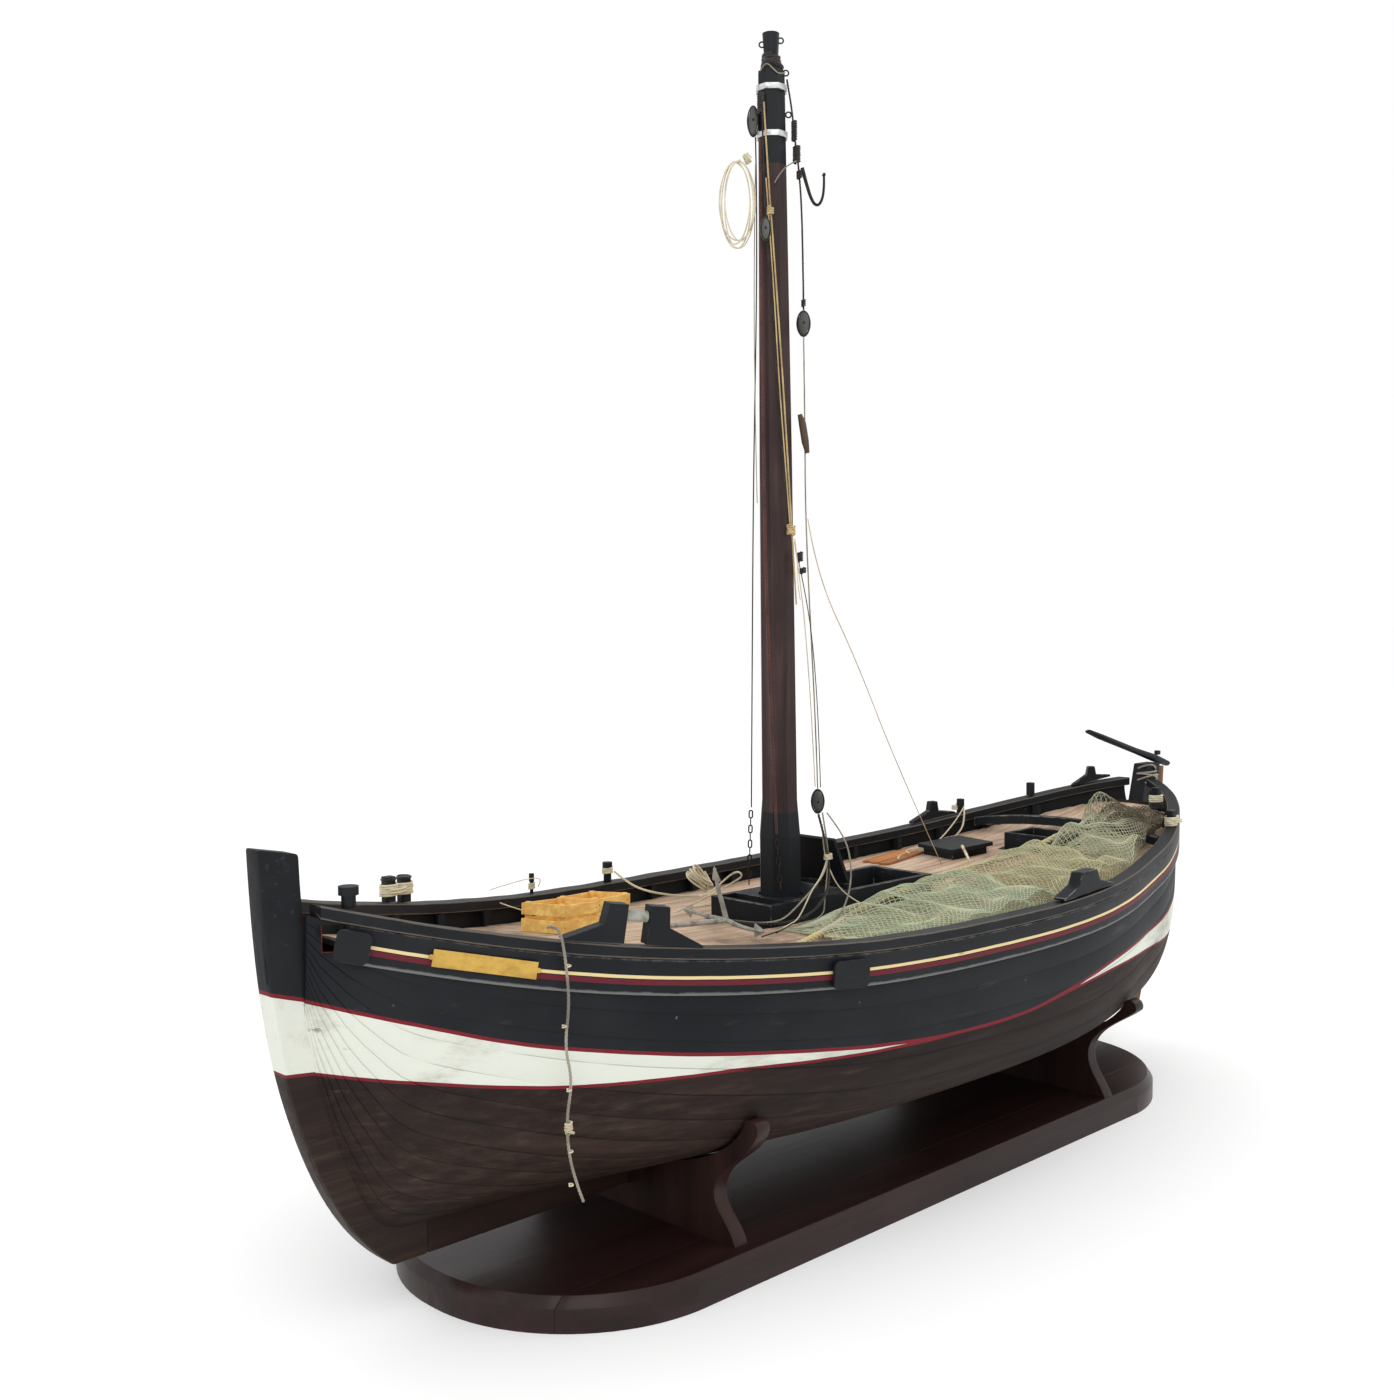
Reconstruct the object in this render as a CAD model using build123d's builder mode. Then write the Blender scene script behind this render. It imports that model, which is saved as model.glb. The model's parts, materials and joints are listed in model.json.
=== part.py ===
from build123d import *
import math
import os

# A planked display model of a double-ended sailing fishing boat on its stand.
# Millimetres. +X runs aft, +Y to starboard, +Z up; the origin is the centre of the stand's underside.

# stand
board_length, board_width, board_height = 900.0, 292.0, 26.0
board_corner = 142.0
board_bevel = 8.0
plank_seam = 99.0
cradle_thick = 14.0
fore_cradle_x, aft_cradle_x = -261.5, 261.5
slot_half, slot_floor = 9.6, 46.0

# backbone
keel_half, keel_bottom, keel_top = 9.0, 46.0, 75.0
post_foot_x, post_rake = 519.0, 0.29
post_depth, post_head_z = 30.0, 330.0

# rail (sheer) line and planking
sheer_low, sheer_low_x, sheer_rise, sheer_reach = 252.7, 15.0, 68.0, 577.0
plank_thick = 4.0
rail_thick, rail_inboard, rail_outboard = 9.0, 11.0, 4.0
wale_low, wale_proud = 36.0, 4.0
deck_drop, deck_camber, deck_thick, deck_breadth = 24.0, 10.0, 4.0, 186.0

# half-breadth at the rail, and height of the planking's lower edge, by station
rail_breadth = [(-556, 14), (-540, 27), (-500, 53), (-440, 89), (-380, 115), (-310, 137), (-230, 158),
                (-150, 176), (-70, 185), (10, 190), (90, 192), (170, 188), (240, 177), (310, 160),
                (370, 144), (430, 121), (480, 96), (520, 70), (550, 42), (566, 22)]
rabbet = [(-556, 240), (-549, 202), (-540, 170), (-532, 144), (-520, 116), (-503, 84), (-480, 72),
          (-440, 71), (480, 71), (500, 74), (510, 88), (520, 112), (530, 146), (550, 215), (566, 270)]
deck_break_x = 322.0

stations = [-556, -545, -530, -508, -480, -440, -390, -330, -250, -150, -50, 50, 150, 250, 320, 380,
            430, 470, 500, 520, 540, 555, 566]

# mast
mast_x, mast_rake, mast_z = -65.0, -0.0133, 266.0
mast_foot_z, mast_shoulder_z, mast_top_z = 98.0, 985.0, 1018.0
mast_sizes = [(98, 18.0), (312, 18.0), (345, 15.5), (650, 14.2), (905, 12.0), (985, 11.4)]

# main hatch
coaming_fore, coaming_aft, coaming_half, coaming_wall, coaming_top = -118.0, 113.0, 37.0, 6.0, 259.0
lid_hinge_x, lid_hinge_z, lid_length, lid_half, lid_thick, lid_lean = -8.0, 262.6, 47.0, 34.0, 3.4, 26.0

os.makedirs("parts", exist_ok=True)


def reading(table, x):
    # smooth reading between the stations of a table
    last = len(table) - 2
    i = 0
    while i < last and x > table[i + 1][0]:
        i += 1
    slopes = []
    for k in (i, i + 1):
        low, high = table[max(k - 1, 0)], table[min(k + 1, last + 1)]
        slopes.append((high[1] - low[1]) / (high[0] - low[0]))
    (x0, v0), (x1, v1) = table[i], table[i + 1]
    t = min(max((x - x0) / (x1 - x0), 0.0), 1.0)
    span = x1 - x0
    return (v0 * (1 + 2 * t) * (1 - t) ** 2 + v1 * t * t * (3 - 2 * t)
            + span * slopes[0] * t * (1 - t) ** 2 - span * slopes[1] * t * t * (1 - t))


def sheer(x):
    return sheer_low + sheer_rise * abs((x - sheer_low_x) / sheer_reach) ** 2.5


def lower_edge(x):
    if -440 <= x <= 480:
        return 71.0
    return max(71.0, reading(rabbet, x))


def half_breadth(x, z, inset=0.0):
    # outside of the planking at height z; inset gives the surface that far inside
    bottom = lower_edge(x) + inset
    side = reading(rail_breadth, x) - inset
    fullness = 1 - abs((x - 20) / 590) ** 3
    s = min(max((z - bottom) / (sheer(x) - bottom), 0.0), 1.0)
    rise = (1 - (1 - s) ** (1.7 + 4.8 * fullness)) ** (1 - 0.37 * fullness)
    return keel_half + max(side - keel_half, 1.0) * rise


def deck_edge(x):
    return half_breadth(x, sheer(x) - deck_drop, plank_thick) - 1.0


def deck_z(x, y=0.0):
    edge = deck_edge(x)
    return sheer(x) - deck_drop + deck_camber * edge / deck_breadth * (1 - (y / edge) ** 2)


def deck_plane(x, y, turn=0.0, lift=0.3):
    # a plane lying on the deck, with its X turned from the boat's own X
    step = 5.0
    slope_x = (deck_z(x + step, y) - deck_z(x - step, y)) / (2 * step)
    slope_y = (deck_z(x, y + step) - deck_z(x, y - step)) / (2 * step)
    ahead = Vector(math.cos(math.radians(turn)), math.sin(math.radians(turn)), 0)
    up = Vector(-slope_x, -slope_y, 1)
    along = ahead - up * (ahead.dot(up) / up.dot(up))
    return Plane(origin=(x, y, deck_z(x, y) + lift), x_dir=along, z_dir=up)


def mast_at(z, across=0.0, ahead=0.0):
    # a point beside the mast: across runs aft and to port, ahead runs forward and to port
    x = mast_x + mast_rake * (z - mast_z)
    return (x + 0.712 * across - 0.702 * ahead, -0.702 * across - 0.712 * ahead, z)


def lofted(outline, places):
    with BuildPart() as shape:
        for x in places:
            with BuildSketch(Plane.YZ.offset(x)):
                with BuildLine():
                    outline(x)
                make_face()
        loft()
    return shape


def mirrored(shape):
    with BuildPart() as other:
        mirror(shape.part, about=Plane.XZ)
    return other


def rod(points, radius):
    # a bent bar of round section through the given points
    with BuildPart() as bar:
        for start, end in zip(points, points[1:]):
            way = Vector(*end) - Vector(*start)
            with BuildSketch(Plane(origin=start, z_dir=way)):
                Circle(radius)
            extrude(amount=way.length)
        for corner in points[1:-1]:
            with Locations(corner):
                Sphere(radius)
    return bar


def bend_radii(points):
    radii = []
    for before, corner, after in zip(points, points[1:], points[2:]):
        run_in = Vector(*corner) - Vector(*before)
        run_out = Vector(*after) - Vector(*corner)
        turn = math.radians(run_in.get_angle(run_out))
        radii.append(0.45 * min(run_in.length, run_out.length) / math.tan(turn / 2))
    return radii


def cord(name, points, diameter):
    # a free rope: straight runs joined by tangent arcs as large as the runs allow
    radii = bend_radii(points)
    with BuildPart() as tube:
        with BuildLine() as route:
            FilletPolyline(*points, radius=radii)
        path = route.wire()
        with BuildSketch(Plane(origin=path @ 0, z_dir=path % 0)):
            Circle(diameter / 2)
        sweep(path=path)
    ideal = math.pi * diameter ** 2 / 4 * path.length
    print(name, "length", round(path.length, 1), "volume ratio", round(tube.part.volume / ideal, 4),
          "radii / diameter", [round(r / diameter, 1) for r in radii])
    save(name, tube)


def save(name, shape):
    shape.part.label = name
    export_step(shape.part, f"parts/{name}.step")


# ---------------------------------------------------------------- stand
with BuildPart() as whole_board:
    with BuildSketch():
        RectangleRounded(board_length, board_width, board_corner)
    extrude(amount=board_height)
    chamfer(whole_board.faces().sort_by(Axis.Z)[-1].edges(), length=board_bevel, length2=board_bevel * 0.7)

with BuildPart() as stand_board:
    for low, high in ((-board_width / 2, -plank_seam), (-plank_seam, plank_seam),
                      (plank_seam, board_width / 2)):
        with BuildPart(mode=Mode.PRIVATE) as plank:
            add(whole_board.part)
            with Locations((0, (low + high) / 2, board_height / 2)):
                Box(board_length + 10, high - low - 0.3, board_height + 10, mode=Mode.INTERSECT)
        add(plank.part)
save("stand_board", stand_board)


def cradle(face_x, outer):
    # a shaped bearer plate: a curved foot each side, a horn that hugs the bilge, and the keel slot
    widest = max((face_x, face_x + cradle_thick), key=lambda x: half_breadth(x, 100))
    bearing = [(half_breadth(widest, z) + 1.3, z) for z in (123, 108, 96, 86, 78)]
    lip_y = bearing[0][0] + 1.0
    shoulder = (lip_y + 13, 120)
    tip = (lip_y + 8, 130)
    with BuildPart() as plate:
        with BuildSketch(Plane.YZ.offset(face_x)):
            with BuildLine():
                Line((0, board_height), outer[0])
                Spline(*outer, shoulder)
                ThreePointArc(shoulder, tip, (lip_y, 127))
                Line((lip_y, 127), bearing[0])
                Spline(*bearing, (slot_half, 70.6))
                Polyline((slot_half, 70.6), (slot_half, slot_floor), (0, slot_floor), (0, board_height))
            make_face()
            mirror(about=Plane.YZ)
        extrude(amount=cradle_thick)
    return plate


cradle_fore = cradle(fore_cradle_x, [(131, 26), (121, 43), (108.6, 62), (113.5, 78), (134, 97)])
save("cradle_fore", cradle_fore)
cradle_aft = cradle(aft_cradle_x, [(139.7, 26), (131, 41), (120.4, 62), (121, 75), (143, 100)])
save("cradle_aft", cradle_aft)

# ---------------------------------------------------------------- backbone
stem_front = [(-488, 46), (-523.5, 84), (-553.5, 144), (-571, 202), (-580, 253), (-588, 358)]
stem_back = [(-558, 352), (-550, 253), (-541, 202), (-524, 150), (-496, 104), (-458, 75)]
with BuildPart() as stem_post:
    with BuildSketch(Plane.XZ):
        with BuildLine():
            Spline(*stem_front)
            Line(stem_front[-1], stem_back[0])
            Spline(*stem_back)
            Polyline(stem_back[-1], (-458, keel_bottom), stem_front[0])
        make_face()
    extrude(amount=keel_half, both=True)
save("stem_post", stem_post)

post_face = [(post_foot_x + post_rake * (z - keel_bottom), z) for z in (keel_bottom, post_head_z)]
with BuildPart() as stern_post:
    with BuildSketch(Plane.XZ):
        with BuildLine():
            Polyline(post_face[0], post_face[1], (post_face[1][0] - post_depth, post_head_z),
                     (post_foot_x - post_depth + 8, keel_top), (post_foot_x - post_depth, keel_top),
                     (post_foot_x - post_depth, keel_bottom), post_face[0])
        make_face()
    extrude(amount=keel_half, both=True)
save("stern_post", stern_post)

with BuildPart() as keel:
    keel_aft = post_foot_x - post_depth
    with Locations(((keel_aft - 458) / 2, 0, (keel_bottom + keel_top) / 2)):
        Box(keel_aft + 458, 2 * keel_half, keel_top - keel_bottom)
save("keel", keel)

with BuildPart() as keelson:
    with Locations((0, 0, 82)):
        Box(860, 17, 13)
    with Locations((mast_at(mast_foot_z)[0], 0, (88 + mast_foot_z) / 2)):
        Box(64, 17, mast_foot_z - 88)
save("keelson", keelson)


# ---------------------------------------------------------------- planking and deck
def side_curve(x, inset, top):
    bottom = lower_edge(x) + inset
    spread = (0, 0.03, 0.1, 0.22, 0.4, 0.7, 1)
    heights = [bottom + (top - bottom) * t for t in spread]
    return [(half_breadth(x, z, inset), z) for z in heights]


def planking_outline(x):
    top = sheer(x) - rail_thick - 0.2
    outer = side_curve(x, 0, top)
    inner = side_curve(x, plank_thick, top)
    Spline(*outer)
    Line(outer[-1], inner[-1])
    Spline(*inner[::-1])
    Line(inner[0], outer[0])


planking_starboard = lofted(planking_outline, stations)
save("planking_starboard", planking_starboard)
planking_port = mirrored(planking_starboard)
save("planking_port", planking_port)


def slab_outline(x, drop, thick, shy):
    edge = deck_edge(x) - shy
    low = deck_z(x, edge) - drop
    high = deck_z(x) - drop
    ThreePointArc((-edge, low), (0, high), (edge, low))
    Line((edge, low), (edge, low - thick))
    ThreePointArc((edge, low - thick), (0, high - thick), (-edge, low - thick))
    Line((-edge, low - thick), (-edge, low))


def deck_outline(x):
    # the slab's square edge fits inside the planking at its underside
    inside = half_breadth(x, sheer(x) - deck_drop - deck_thick, plank_thick) - 2.8
    slab_outline(x, 0, deck_thick, deck_edge(x) - inside)


deck_full = lofted(deck_outline, [-535] + stations[2:-1])
aft_hatch = (332.0, 388.0, 30.0)
with BuildPart() as deck:
    add(deck_full.part)
    with Locations(((coaming_fore + coaming_aft) / 2, 0, 240)):
        Box(coaming_aft - coaming_fore, 2 * coaming_half, 60, mode=Mode.SUBTRACT)
    with Locations(((aft_hatch[0] + aft_hatch[1]) / 2, 0, 255)):
        Box(aft_hatch[1] - aft_hatch[0], 2 * aft_hatch[2], 60, mode=Mode.SUBTRACT)


def deck_part(low, high):
    with BuildPart() as panel:
        add(deck.part)
        with Locations(((low + high) / 2, 0, 260)):
            Box(high - low, 400, 120, mode=Mode.INTERSECT)
    return panel


save("deck", deck_part(-560, deck_break_x - 0.1))
save("deck_aft", deck_part(deck_break_x + 0.1, 580))

rib_places = range(-420, 481, 90)
with BuildPart() as frames:
    for x in rib_places:
        narrow = x + 6 if x > 60 else x
        top = sheer(narrow) - deck_drop - deck_thick - 3
        with BuildSketch(Plane.YZ.offset(x)):
            with BuildLine():
                outer = side_curve(narrow, plank_thick + 1.0, top)
                inner = side_curve(narrow, plank_thick + 7.0, top)
                Spline(*outer)
                Line(outer[-1], inner[-1])
                Spline(*inner[::-1])
                Line(inner[0], outer[0])
            make_face()
            mirror(about=Plane.YZ)
        extrude(amount=6)
        if coaming_fore - 10 < x < coaming_aft + 5 or aft_hatch[0] - 10 < x < aft_hatch[1]:
            continue
        with BuildSketch(Plane.YZ.offset(x)):
            with BuildLine():
                slab_outline(narrow, deck_thick + 2.5, 7, 12)
            make_face()
        extrude(amount=6)
save("frames", frames)


def rail_outline(x):
    side, top = reading(rail_breadth, x), sheer(x)
    Polyline((side - rail_inboard, top), (side + rail_outboard, top),
             (side + rail_outboard, top - rail_thick),
             (side - rail_inboard, top - rail_thick), close=True)


def wale_outline(x):
    low, high = sheer(x) - wale_low, sheer(x) - rail_thick - 0.3
    clear = 0.6 + 0.09 * max(0, x - 515)
    in_low, in_high = half_breadth(x, low) + clear, half_breadth(x, high) + clear
    Polyline((in_low, low), (in_high, high), (in_high + wale_proud, high),
             (in_low + wale_proud, low), close=True)


side_stations = [-550, -535, -508, -480, -440, -390, -330, -250, -150, -50, 50, 150, 250, 320, 380, 430,
                 470, 500, 520, 540, 555, 566]
rail_cap_starboard = lofted(rail_outline, side_stations)
save("rail_cap_starboard", rail_cap_starboard)
rail_cap_port = mirrored(rail_cap_starboard)
save("rail_cap_port", rail_cap_port)
wale_starboard = lofted(wale_outline, side_stations[1:-1])
save("wale_starboard", wale_starboard)
wale_port = mirrored(wale_starboard)
save("wale_port", wale_port)

with BuildPart() as stanchions:
    for x in range(-480, 500, 60):
        side = min(half_breadth(at, sheer(x) - 20, plank_thick) for at in (x - 4, x + 4))
        foot = deck_z(x, side - 5) + 1.5
        head = min(sheer(x - 4), sheer(x + 4)) - rail_thick - 0.2
        for y in (-(side - 5.2), side - 5.2):
            with Locations((x, y, (foot + head) / 2)):
                Box(7, 7, head - foot)
save("stanchions", stanchions)


def on_side(x, drop, side=-1.0, proud=0.0):
    # a plane on the wale's outer face, its X running aft and its Z pointing outboard
    step = 6.0
    def point(at):
        z = sheer(at) - drop
        return Vector(at, side * (half_breadth(at, z) + wale_proud + proud), z)
    along = point(x + step) - point(x - step)
    outboard = Vector(0, side, 0) - along * (along.Y * side / along.dot(along))
    return Plane(origin=point(x), x_dir=along, z_dir=outboard)


with BuildPart() as wale_pads:
    for x, length, side, proud in ((-535, 24, -1.0, 3.2), (-178, 34, -1.0, 1.6), (-535, 24, 1.0, 3.2),
                                   (-178, 34, 1.0, 1.6)):
        with BuildSketch(on_side(x, 24, side, proud)):
            RectangleRounded(length, 22, 5)
        extrude(amount=3)
save("wale_pads", wale_pads)

with BuildPart() as name_plate:
    with BuildSketch(on_side(-459, 22, -1.0, 1.5)):
        Rectangle(73, 12)
    extrude(amount=1.2)
    for x in (-491, -427):
        with BuildSketch(on_side(x, 22, -1.0, 2.9)):
            Circle(1.8)
        extrude(amount=0.7)
save("name_plate", name_plate)

# ---------------------------------------------------------------- hatches and deck woodwork
with BuildPart() as main_coaming:
    with BuildSketch(Plane.XY.offset(232)):
        with Locations(((coaming_fore + coaming_aft) / 2, 0)):
            Rectangle(coaming_aft - coaming_fore - 0.4, 2 * coaming_half - 0.4)
            Rectangle(coaming_aft - coaming_fore - 2 * coaming_wall, 2 * (coaming_half - coaming_wall),
                      mode=Mode.SUBTRACT)
    extrude(amount=coaming_top - 232)
save("main_coaming", main_coaming)

with BuildPart() as mast_partner:
    with BuildSketch(Plane.XY.offset(247)):
        with Locations((-50, 0)):
            Rectangle(84, 2 * (coaming_half - coaming_wall) - 0.2)
        with Locations((mast_at(252)[0], 0)):
            Circle(20.2, mode=Mode.SUBTRACT)
    extrude(amount=coaming_top - 247)
save("mast_partner", mast_partner)

hinge_line = (lid_hinge_x, lid_hinge_z)
lean = math.radians(lid_lean)
lid_up = Vector(-math.sin(lean), 0, math.cos(lean))
lid_face = Vector(math.cos(lean), 0, math.sin(lean))
lid_plane = Plane(origin=(lid_hinge_x, 0, lid_hinge_z), x_dir=(0, 1, 0), z_dir=lid_face)
pin_r, barrel_r = 1.1, 2.4
with BuildPart() as hatch_lid:
    with BuildSketch(lid_plane.offset(-lid_thick / 2)):
        with Locations((0, lid_length / 2 + 3.0)):
            RectangleRounded(2 * lid_half, lid_length, 1.5)
    extrude(amount=lid_thick)
    for y in (-22.0, 22.0):
        with BuildSketch(lid_plane.offset(-1.2)):
            with Locations((y, 4.0)):
                Rectangle(8, 8)
        extrude(amount=2.4)
        with BuildSketch(Plane.XZ.offset(-y - 4)):
            with Locations(hinge_line):
                Circle(barrel_r)
        extrude(amount=8)
        with BuildSketch(Plane.XZ.offset(-y - 5)):
            with Locations(hinge_line):
                Circle(pin_r + 0.06)
        extrude(amount=10, mode=Mode.SUBTRACT)
save("hatch_lid", hatch_lid)

with BuildPart() as lid_hinge:
    with BuildSketch(Plane.XZ.offset(-32)):
        with Locations(hinge_line):
            Circle(pin_r)
    extrude(amount=64)
    for y in (-30.0, 0.0, 30.0):
        with Locations((lid_hinge_x, y, (coaming_top + lid_hinge_z) / 2 + 0.6)):
            Box(4, 5, lid_hinge_z - coaming_top + 1.2)
save("lid_hinge", lid_hinge)

with BuildPart() as aft_coamings:
    with BuildSketch(Plane.XY.offset(246)):
        with Locations(((aft_hatch[0] + aft_hatch[1]) / 2, 0)):
            Rectangle(aft_hatch[1] - aft_hatch[0] - 0.4, 2 * aft_hatch[2] - 0.4)
            Rectangle(aft_hatch[1] - aft_hatch[0] - 9, 2 * aft_hatch[2] - 9, mode=Mode.SUBTRACT)
    extrude(amount=24)
    with BuildSketch(deck_plane(292, 66, -18)):
        Rectangle(46, 54)
        Rectangle(38, 46, mode=Mode.SUBTRACT)
    extrude(amount=8)
save("aft_coamings", aft_coamings)

with BuildPart() as small_hatch_lid:
    with BuildSketch(deck_plane(292, 66, -18, 8.6)):
        RectangleRounded(56, 64, 2)
    extrude(amount=4)
    with BuildSketch(deck_plane(292, 66, -18, 4.6)):
        Rectangle(37, 45)
    extrude(amount=4)
save("small_hatch_lid", small_hatch_lid)

beam_half = 117.0
with BuildPart() as aft_beam:
    with BuildSketch(Plane.YZ.offset(399)):
        with BuildLine():
            ThreePointArc((-beam_half, 272), (0, 282), (beam_half, 272))
            Line((beam_half, 272), (beam_half, 262))
            ThreePointArc((beam_half, 262), (0, 272), (-beam_half, 262))
            Line((-beam_half, 262), (-beam_half, 272))
        make_face()
    extrude(amount=10)
save("aft_beam", aft_beam)

# ---------------------------------------------------------------- rail and deck fittings
with BuildPart() as timberheads:
    # roped pair on the starboard bow, pair on the port quarter, two single heads to starboard
    for x, side, head, half in ((-419, 1, 307, 4.5), (-399, 1, 304, 4.5),
                                (427, -1, 298, 4.0), (442, -1, 297, 4.0),
                                (479, 1, 308, 4.0), (393, 1, 293, 3.6)):
        y = side * (reading(rail_breadth, x) - 4)
        foot = max(sheer(x - half), sheer(x + half)) + 0.3
        with BuildSketch(Plane.XY.offset(foot)):
            with Locations((x, y)):
                RectangleRounded(2 * half, 2 * half, half * 0.4)
        extrude(amount=head - foot)
    # post standing on deck at the port quarter
    with BuildSketch(Plane.XY.offset(deck_z(500, 62) + 1.5)):
        with Locations((500, -60)):
            RectangleRounded(9, 9, 2)
    extrude(amount=312 - deck_z(500, 62) - 1.5)
save("timberheads", timberheads)

with BuildPart() as rail_pins:
    # mushroom bollard at the bow, belaying pin and roped bollard on the starboard rail
    for x, y, height, waist, cap in ((-531, -27, 15, 5.0, 7.0), (-230, 153, 18, 1.6, 2.4),
                                     (-119, 176, 19, 3.8, 4.8)):
        foot = max(sheer(x - cap), sheer(x + cap)) + 0.3
        with BuildSketch(Plane.XY.offset(foot)):
            with Locations((x, y)):
                Circle(waist)
        extrude(amount=height * 0.7)
        with BuildSketch(Plane.XY.offset(foot + height * 0.6)):
            with Locations((x, y)):
                Circle(cap)
        extrude(amount=height * 0.4)
save("rail_pins", rail_pins)


def winged_block(x, y, length, width, head, rise, turn):
    # a chock on the rail: a raised head with a long tapering wing each way
    foot = sheer(x) + 1.9
    tilt = (sheer(x + 10) - sheer(x - 10)) / 20 * length / 2
    with BuildPart() as block:
        with BuildSketch(Plane(origin=(x, y, 0), x_dir=(math.cos(turn), math.sin(turn), 0),
                               z_dir=(math.sin(turn), -math.cos(turn), 0))):
            with BuildLine():
                Polyline((-length / 2, foot - tilt), (-length / 2, foot - tilt + 2), (-head, foot + rise * 0.45),
                         (-head * 0.7, foot + rise), (head * 0.7, foot + rise), (head, foot + rise * 0.45),
                         (length / 2, foot + tilt + 2), (length / 2, foot + tilt), close=True)
            make_face()
        extrude(amount=width / 2, both=True)
    return block


def rail_turn(x, side):
    return side * math.atan2(reading(rail_breadth, x + 8) - reading(rail_breadth, x - 8), 16)


with BuildPart() as rail_chocks:
    for x, side, length, width, head, rise in ((355, 1, 62, 8, 7, 20), (540, 1, 46, 7, 6, 18),
                                               (143, -1, 92, 12, 20, 20)):
        y = side * (reading(rail_breadth, x) - 4)
        add(winged_block(x, y, length, width, head, rise, rail_turn(x, side)).part)
save("rail_chocks", rail_chocks)

# roller chock on the port bow rail: two cheeks with wings and a turning roller between them
chock_x, chock_gap, chock_r = -356.0, 18.0, 4.2
chock_y = -(reading(rail_breadth, chock_x) - 2)
chock_turn = rail_turn(chock_x, -1)
chock_tilt = math.atan((sheer(chock_x + 20) - sheer(chock_x - 20)) / 40)
chock_plane = Plane(origin=(chock_x, chock_y, sheer(chock_x) + 1.6),
                    x_dir=(math.cos(chock_turn), math.sin(chock_turn), math.tan(chock_tilt)),
                    z_dir=(math.sin(chock_turn), -math.cos(chock_turn), 0))
roller_rise = 19.5
with BuildPart() as roller_chock:
    with BuildSketch(chock_plane):
        for way in (-1, 1):
            with BuildLine():
                Polyline((way * chock_gap / 2, 0), (way * chock_gap / 2, 28), (way * (chock_gap / 2 + 15), 28),
                         (way * (chock_gap / 2 + 17), 13), (way * (chock_gap / 2 + 46), 1.5),
                         (way * (chock_gap / 2 + 46), 0), close=True)
            make_face()
    extrude(amount=5.5, both=True)
    roller_middle = chock_plane.from_local_coords((0, roller_rise, 0))
    with BuildSketch(Plane(origin=roller_middle, z_dir=chock_plane.x_dir)):
        Circle(2.06)
    extrude(amount=chock_gap / 2 + 8, both=True, mode=Mode.SUBTRACT)
save("roller_chock", roller_chock)

with BuildPart() as chock_roller:
    roller_plane = Plane(origin=chock_plane.from_local_coords((0, roller_rise, 0)), z_dir=chock_plane.x_dir)
    with BuildSketch(roller_plane):
        Circle(chock_r)
    extrude(amount=chock_gap / 2 - 0.4, both=True)
    with BuildSketch(roller_plane):
        Circle(2.0)
    extrude(amount=chock_gap / 2 + 7, both=True)
save("chock_roller", chock_roller)
print("roller axis", roller_plane.origin, roller_plane.z_dir)


def crate(place):
    # open slatted fish box: floor, corner posts and two rows of side boards
    length, width, height, board = 56.0, 41.0, 24.0, 2.0
    with BuildPart() as box:
        with BuildSketch(place):
            Rectangle(length - 1, width - 1)
        extrude(amount=board)
        for low in (0.0, 14.0):
            with BuildSketch(place.offset(low)):
                Rectangle(length, width)
                Rectangle(length - 2 * board, width - 2 * board, mode=Mode.SUBTRACT)
            extrude(amount=10)
        with BuildSketch(place):
            with GridLocations(length - 2 * board - 4, width - 2 * board - 4, 2, 2):
                Rectangle(4.4, 4.4)
        extrude(amount=height + 1)
    return box


fish_crate_near = crate(deck_plane(-273, 61, 17.5, 0.6))
save("fish_crate_near", fish_crate_near)
fish_crate_far = crate(deck_plane(-214, 86, 17.5, 0.6))
save("fish_crate_far", fish_crate_far)

crown = (-160, -24, 251)
with BuildPart() as grapnel_anchor:
    for arm in ([(-248, -34, 260), crown, (-156, 2, 250), (-148, 34, 250)],
                [crown, (-163, -40, 249), (-166, -68, 248)],
                [crown, (-166, -22, 274), (-170, -20, 292)]):
        add(rod(arm, 2.4).part)
    for tip, way in (((-148, 34, 250), (0, 1, 0)), ((-166, -68, 248), (0, -1, 0)),
                     ((-170, -20, 289), (0, 0, 1))):
        with BuildSketch(Plane(origin=tip, z_dir=way)):
            Rectangle(12, 6)
        with BuildSketch(Plane(origin=tip, z_dir=way).offset(9)):
            Rectangle(2, 2)
        loft()
save("grapnel_anchor", grapnel_anchor)

# ---------------------------------------------------------------- rudder
def post_x(z):
    return post_foot_x + post_rake * (z - keel_bottom)


pintle_heights = (95.0, 195.0, 290.0)
rudder_gap = 5.0
head_z = 324.5
with BuildPart() as rudder_blade:
    with BuildSketch(Plane.XZ):
        with BuildLine():
            Polyline((post_x(head_z) + rudder_gap, head_z), (post_x(48) + rudder_gap, 48), (568, 48))
            Spline((568, 48), (586, 101), (601, 170), (612, 250), (617, 300), (619, head_z))
            Line((619, head_z), (post_x(head_z) + rudder_gap, head_z))
        make_face()
    extrude(amount=4.5, both=True)
save("rudder_blade", rudder_blade)

axis_dir = Vector(post_rake, 0, 1).normalized()
with BuildPart() as pintles:
    for z in pintle_heights:
        foot = Plane(origin=(post_x(z) + 2.4, 0, z), z_dir=axis_dir)
        with BuildSketch(foot.offset(-5)):
            Circle(1.4)
        extrude(amount=14)
        with BuildSketch(foot.offset(6)):
            Circle(2.2)
        extrude(amount=4)
        for y in (-5.2, 5.2):
            with BuildSketch(foot.offset(6)):
                with Locations((11.15, y)):
                    Rectangle(19.7, 1.2)
            extrude(amount=4)
        with BuildSketch(foot.offset(6)):
            with Locations((1.9, 0)):
                Rectangle(1.2, 11.6)
            Circle(1.4, mode=Mode.SUBTRACT)
        extrude(amount=4)
save("pintles", pintles)

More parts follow.
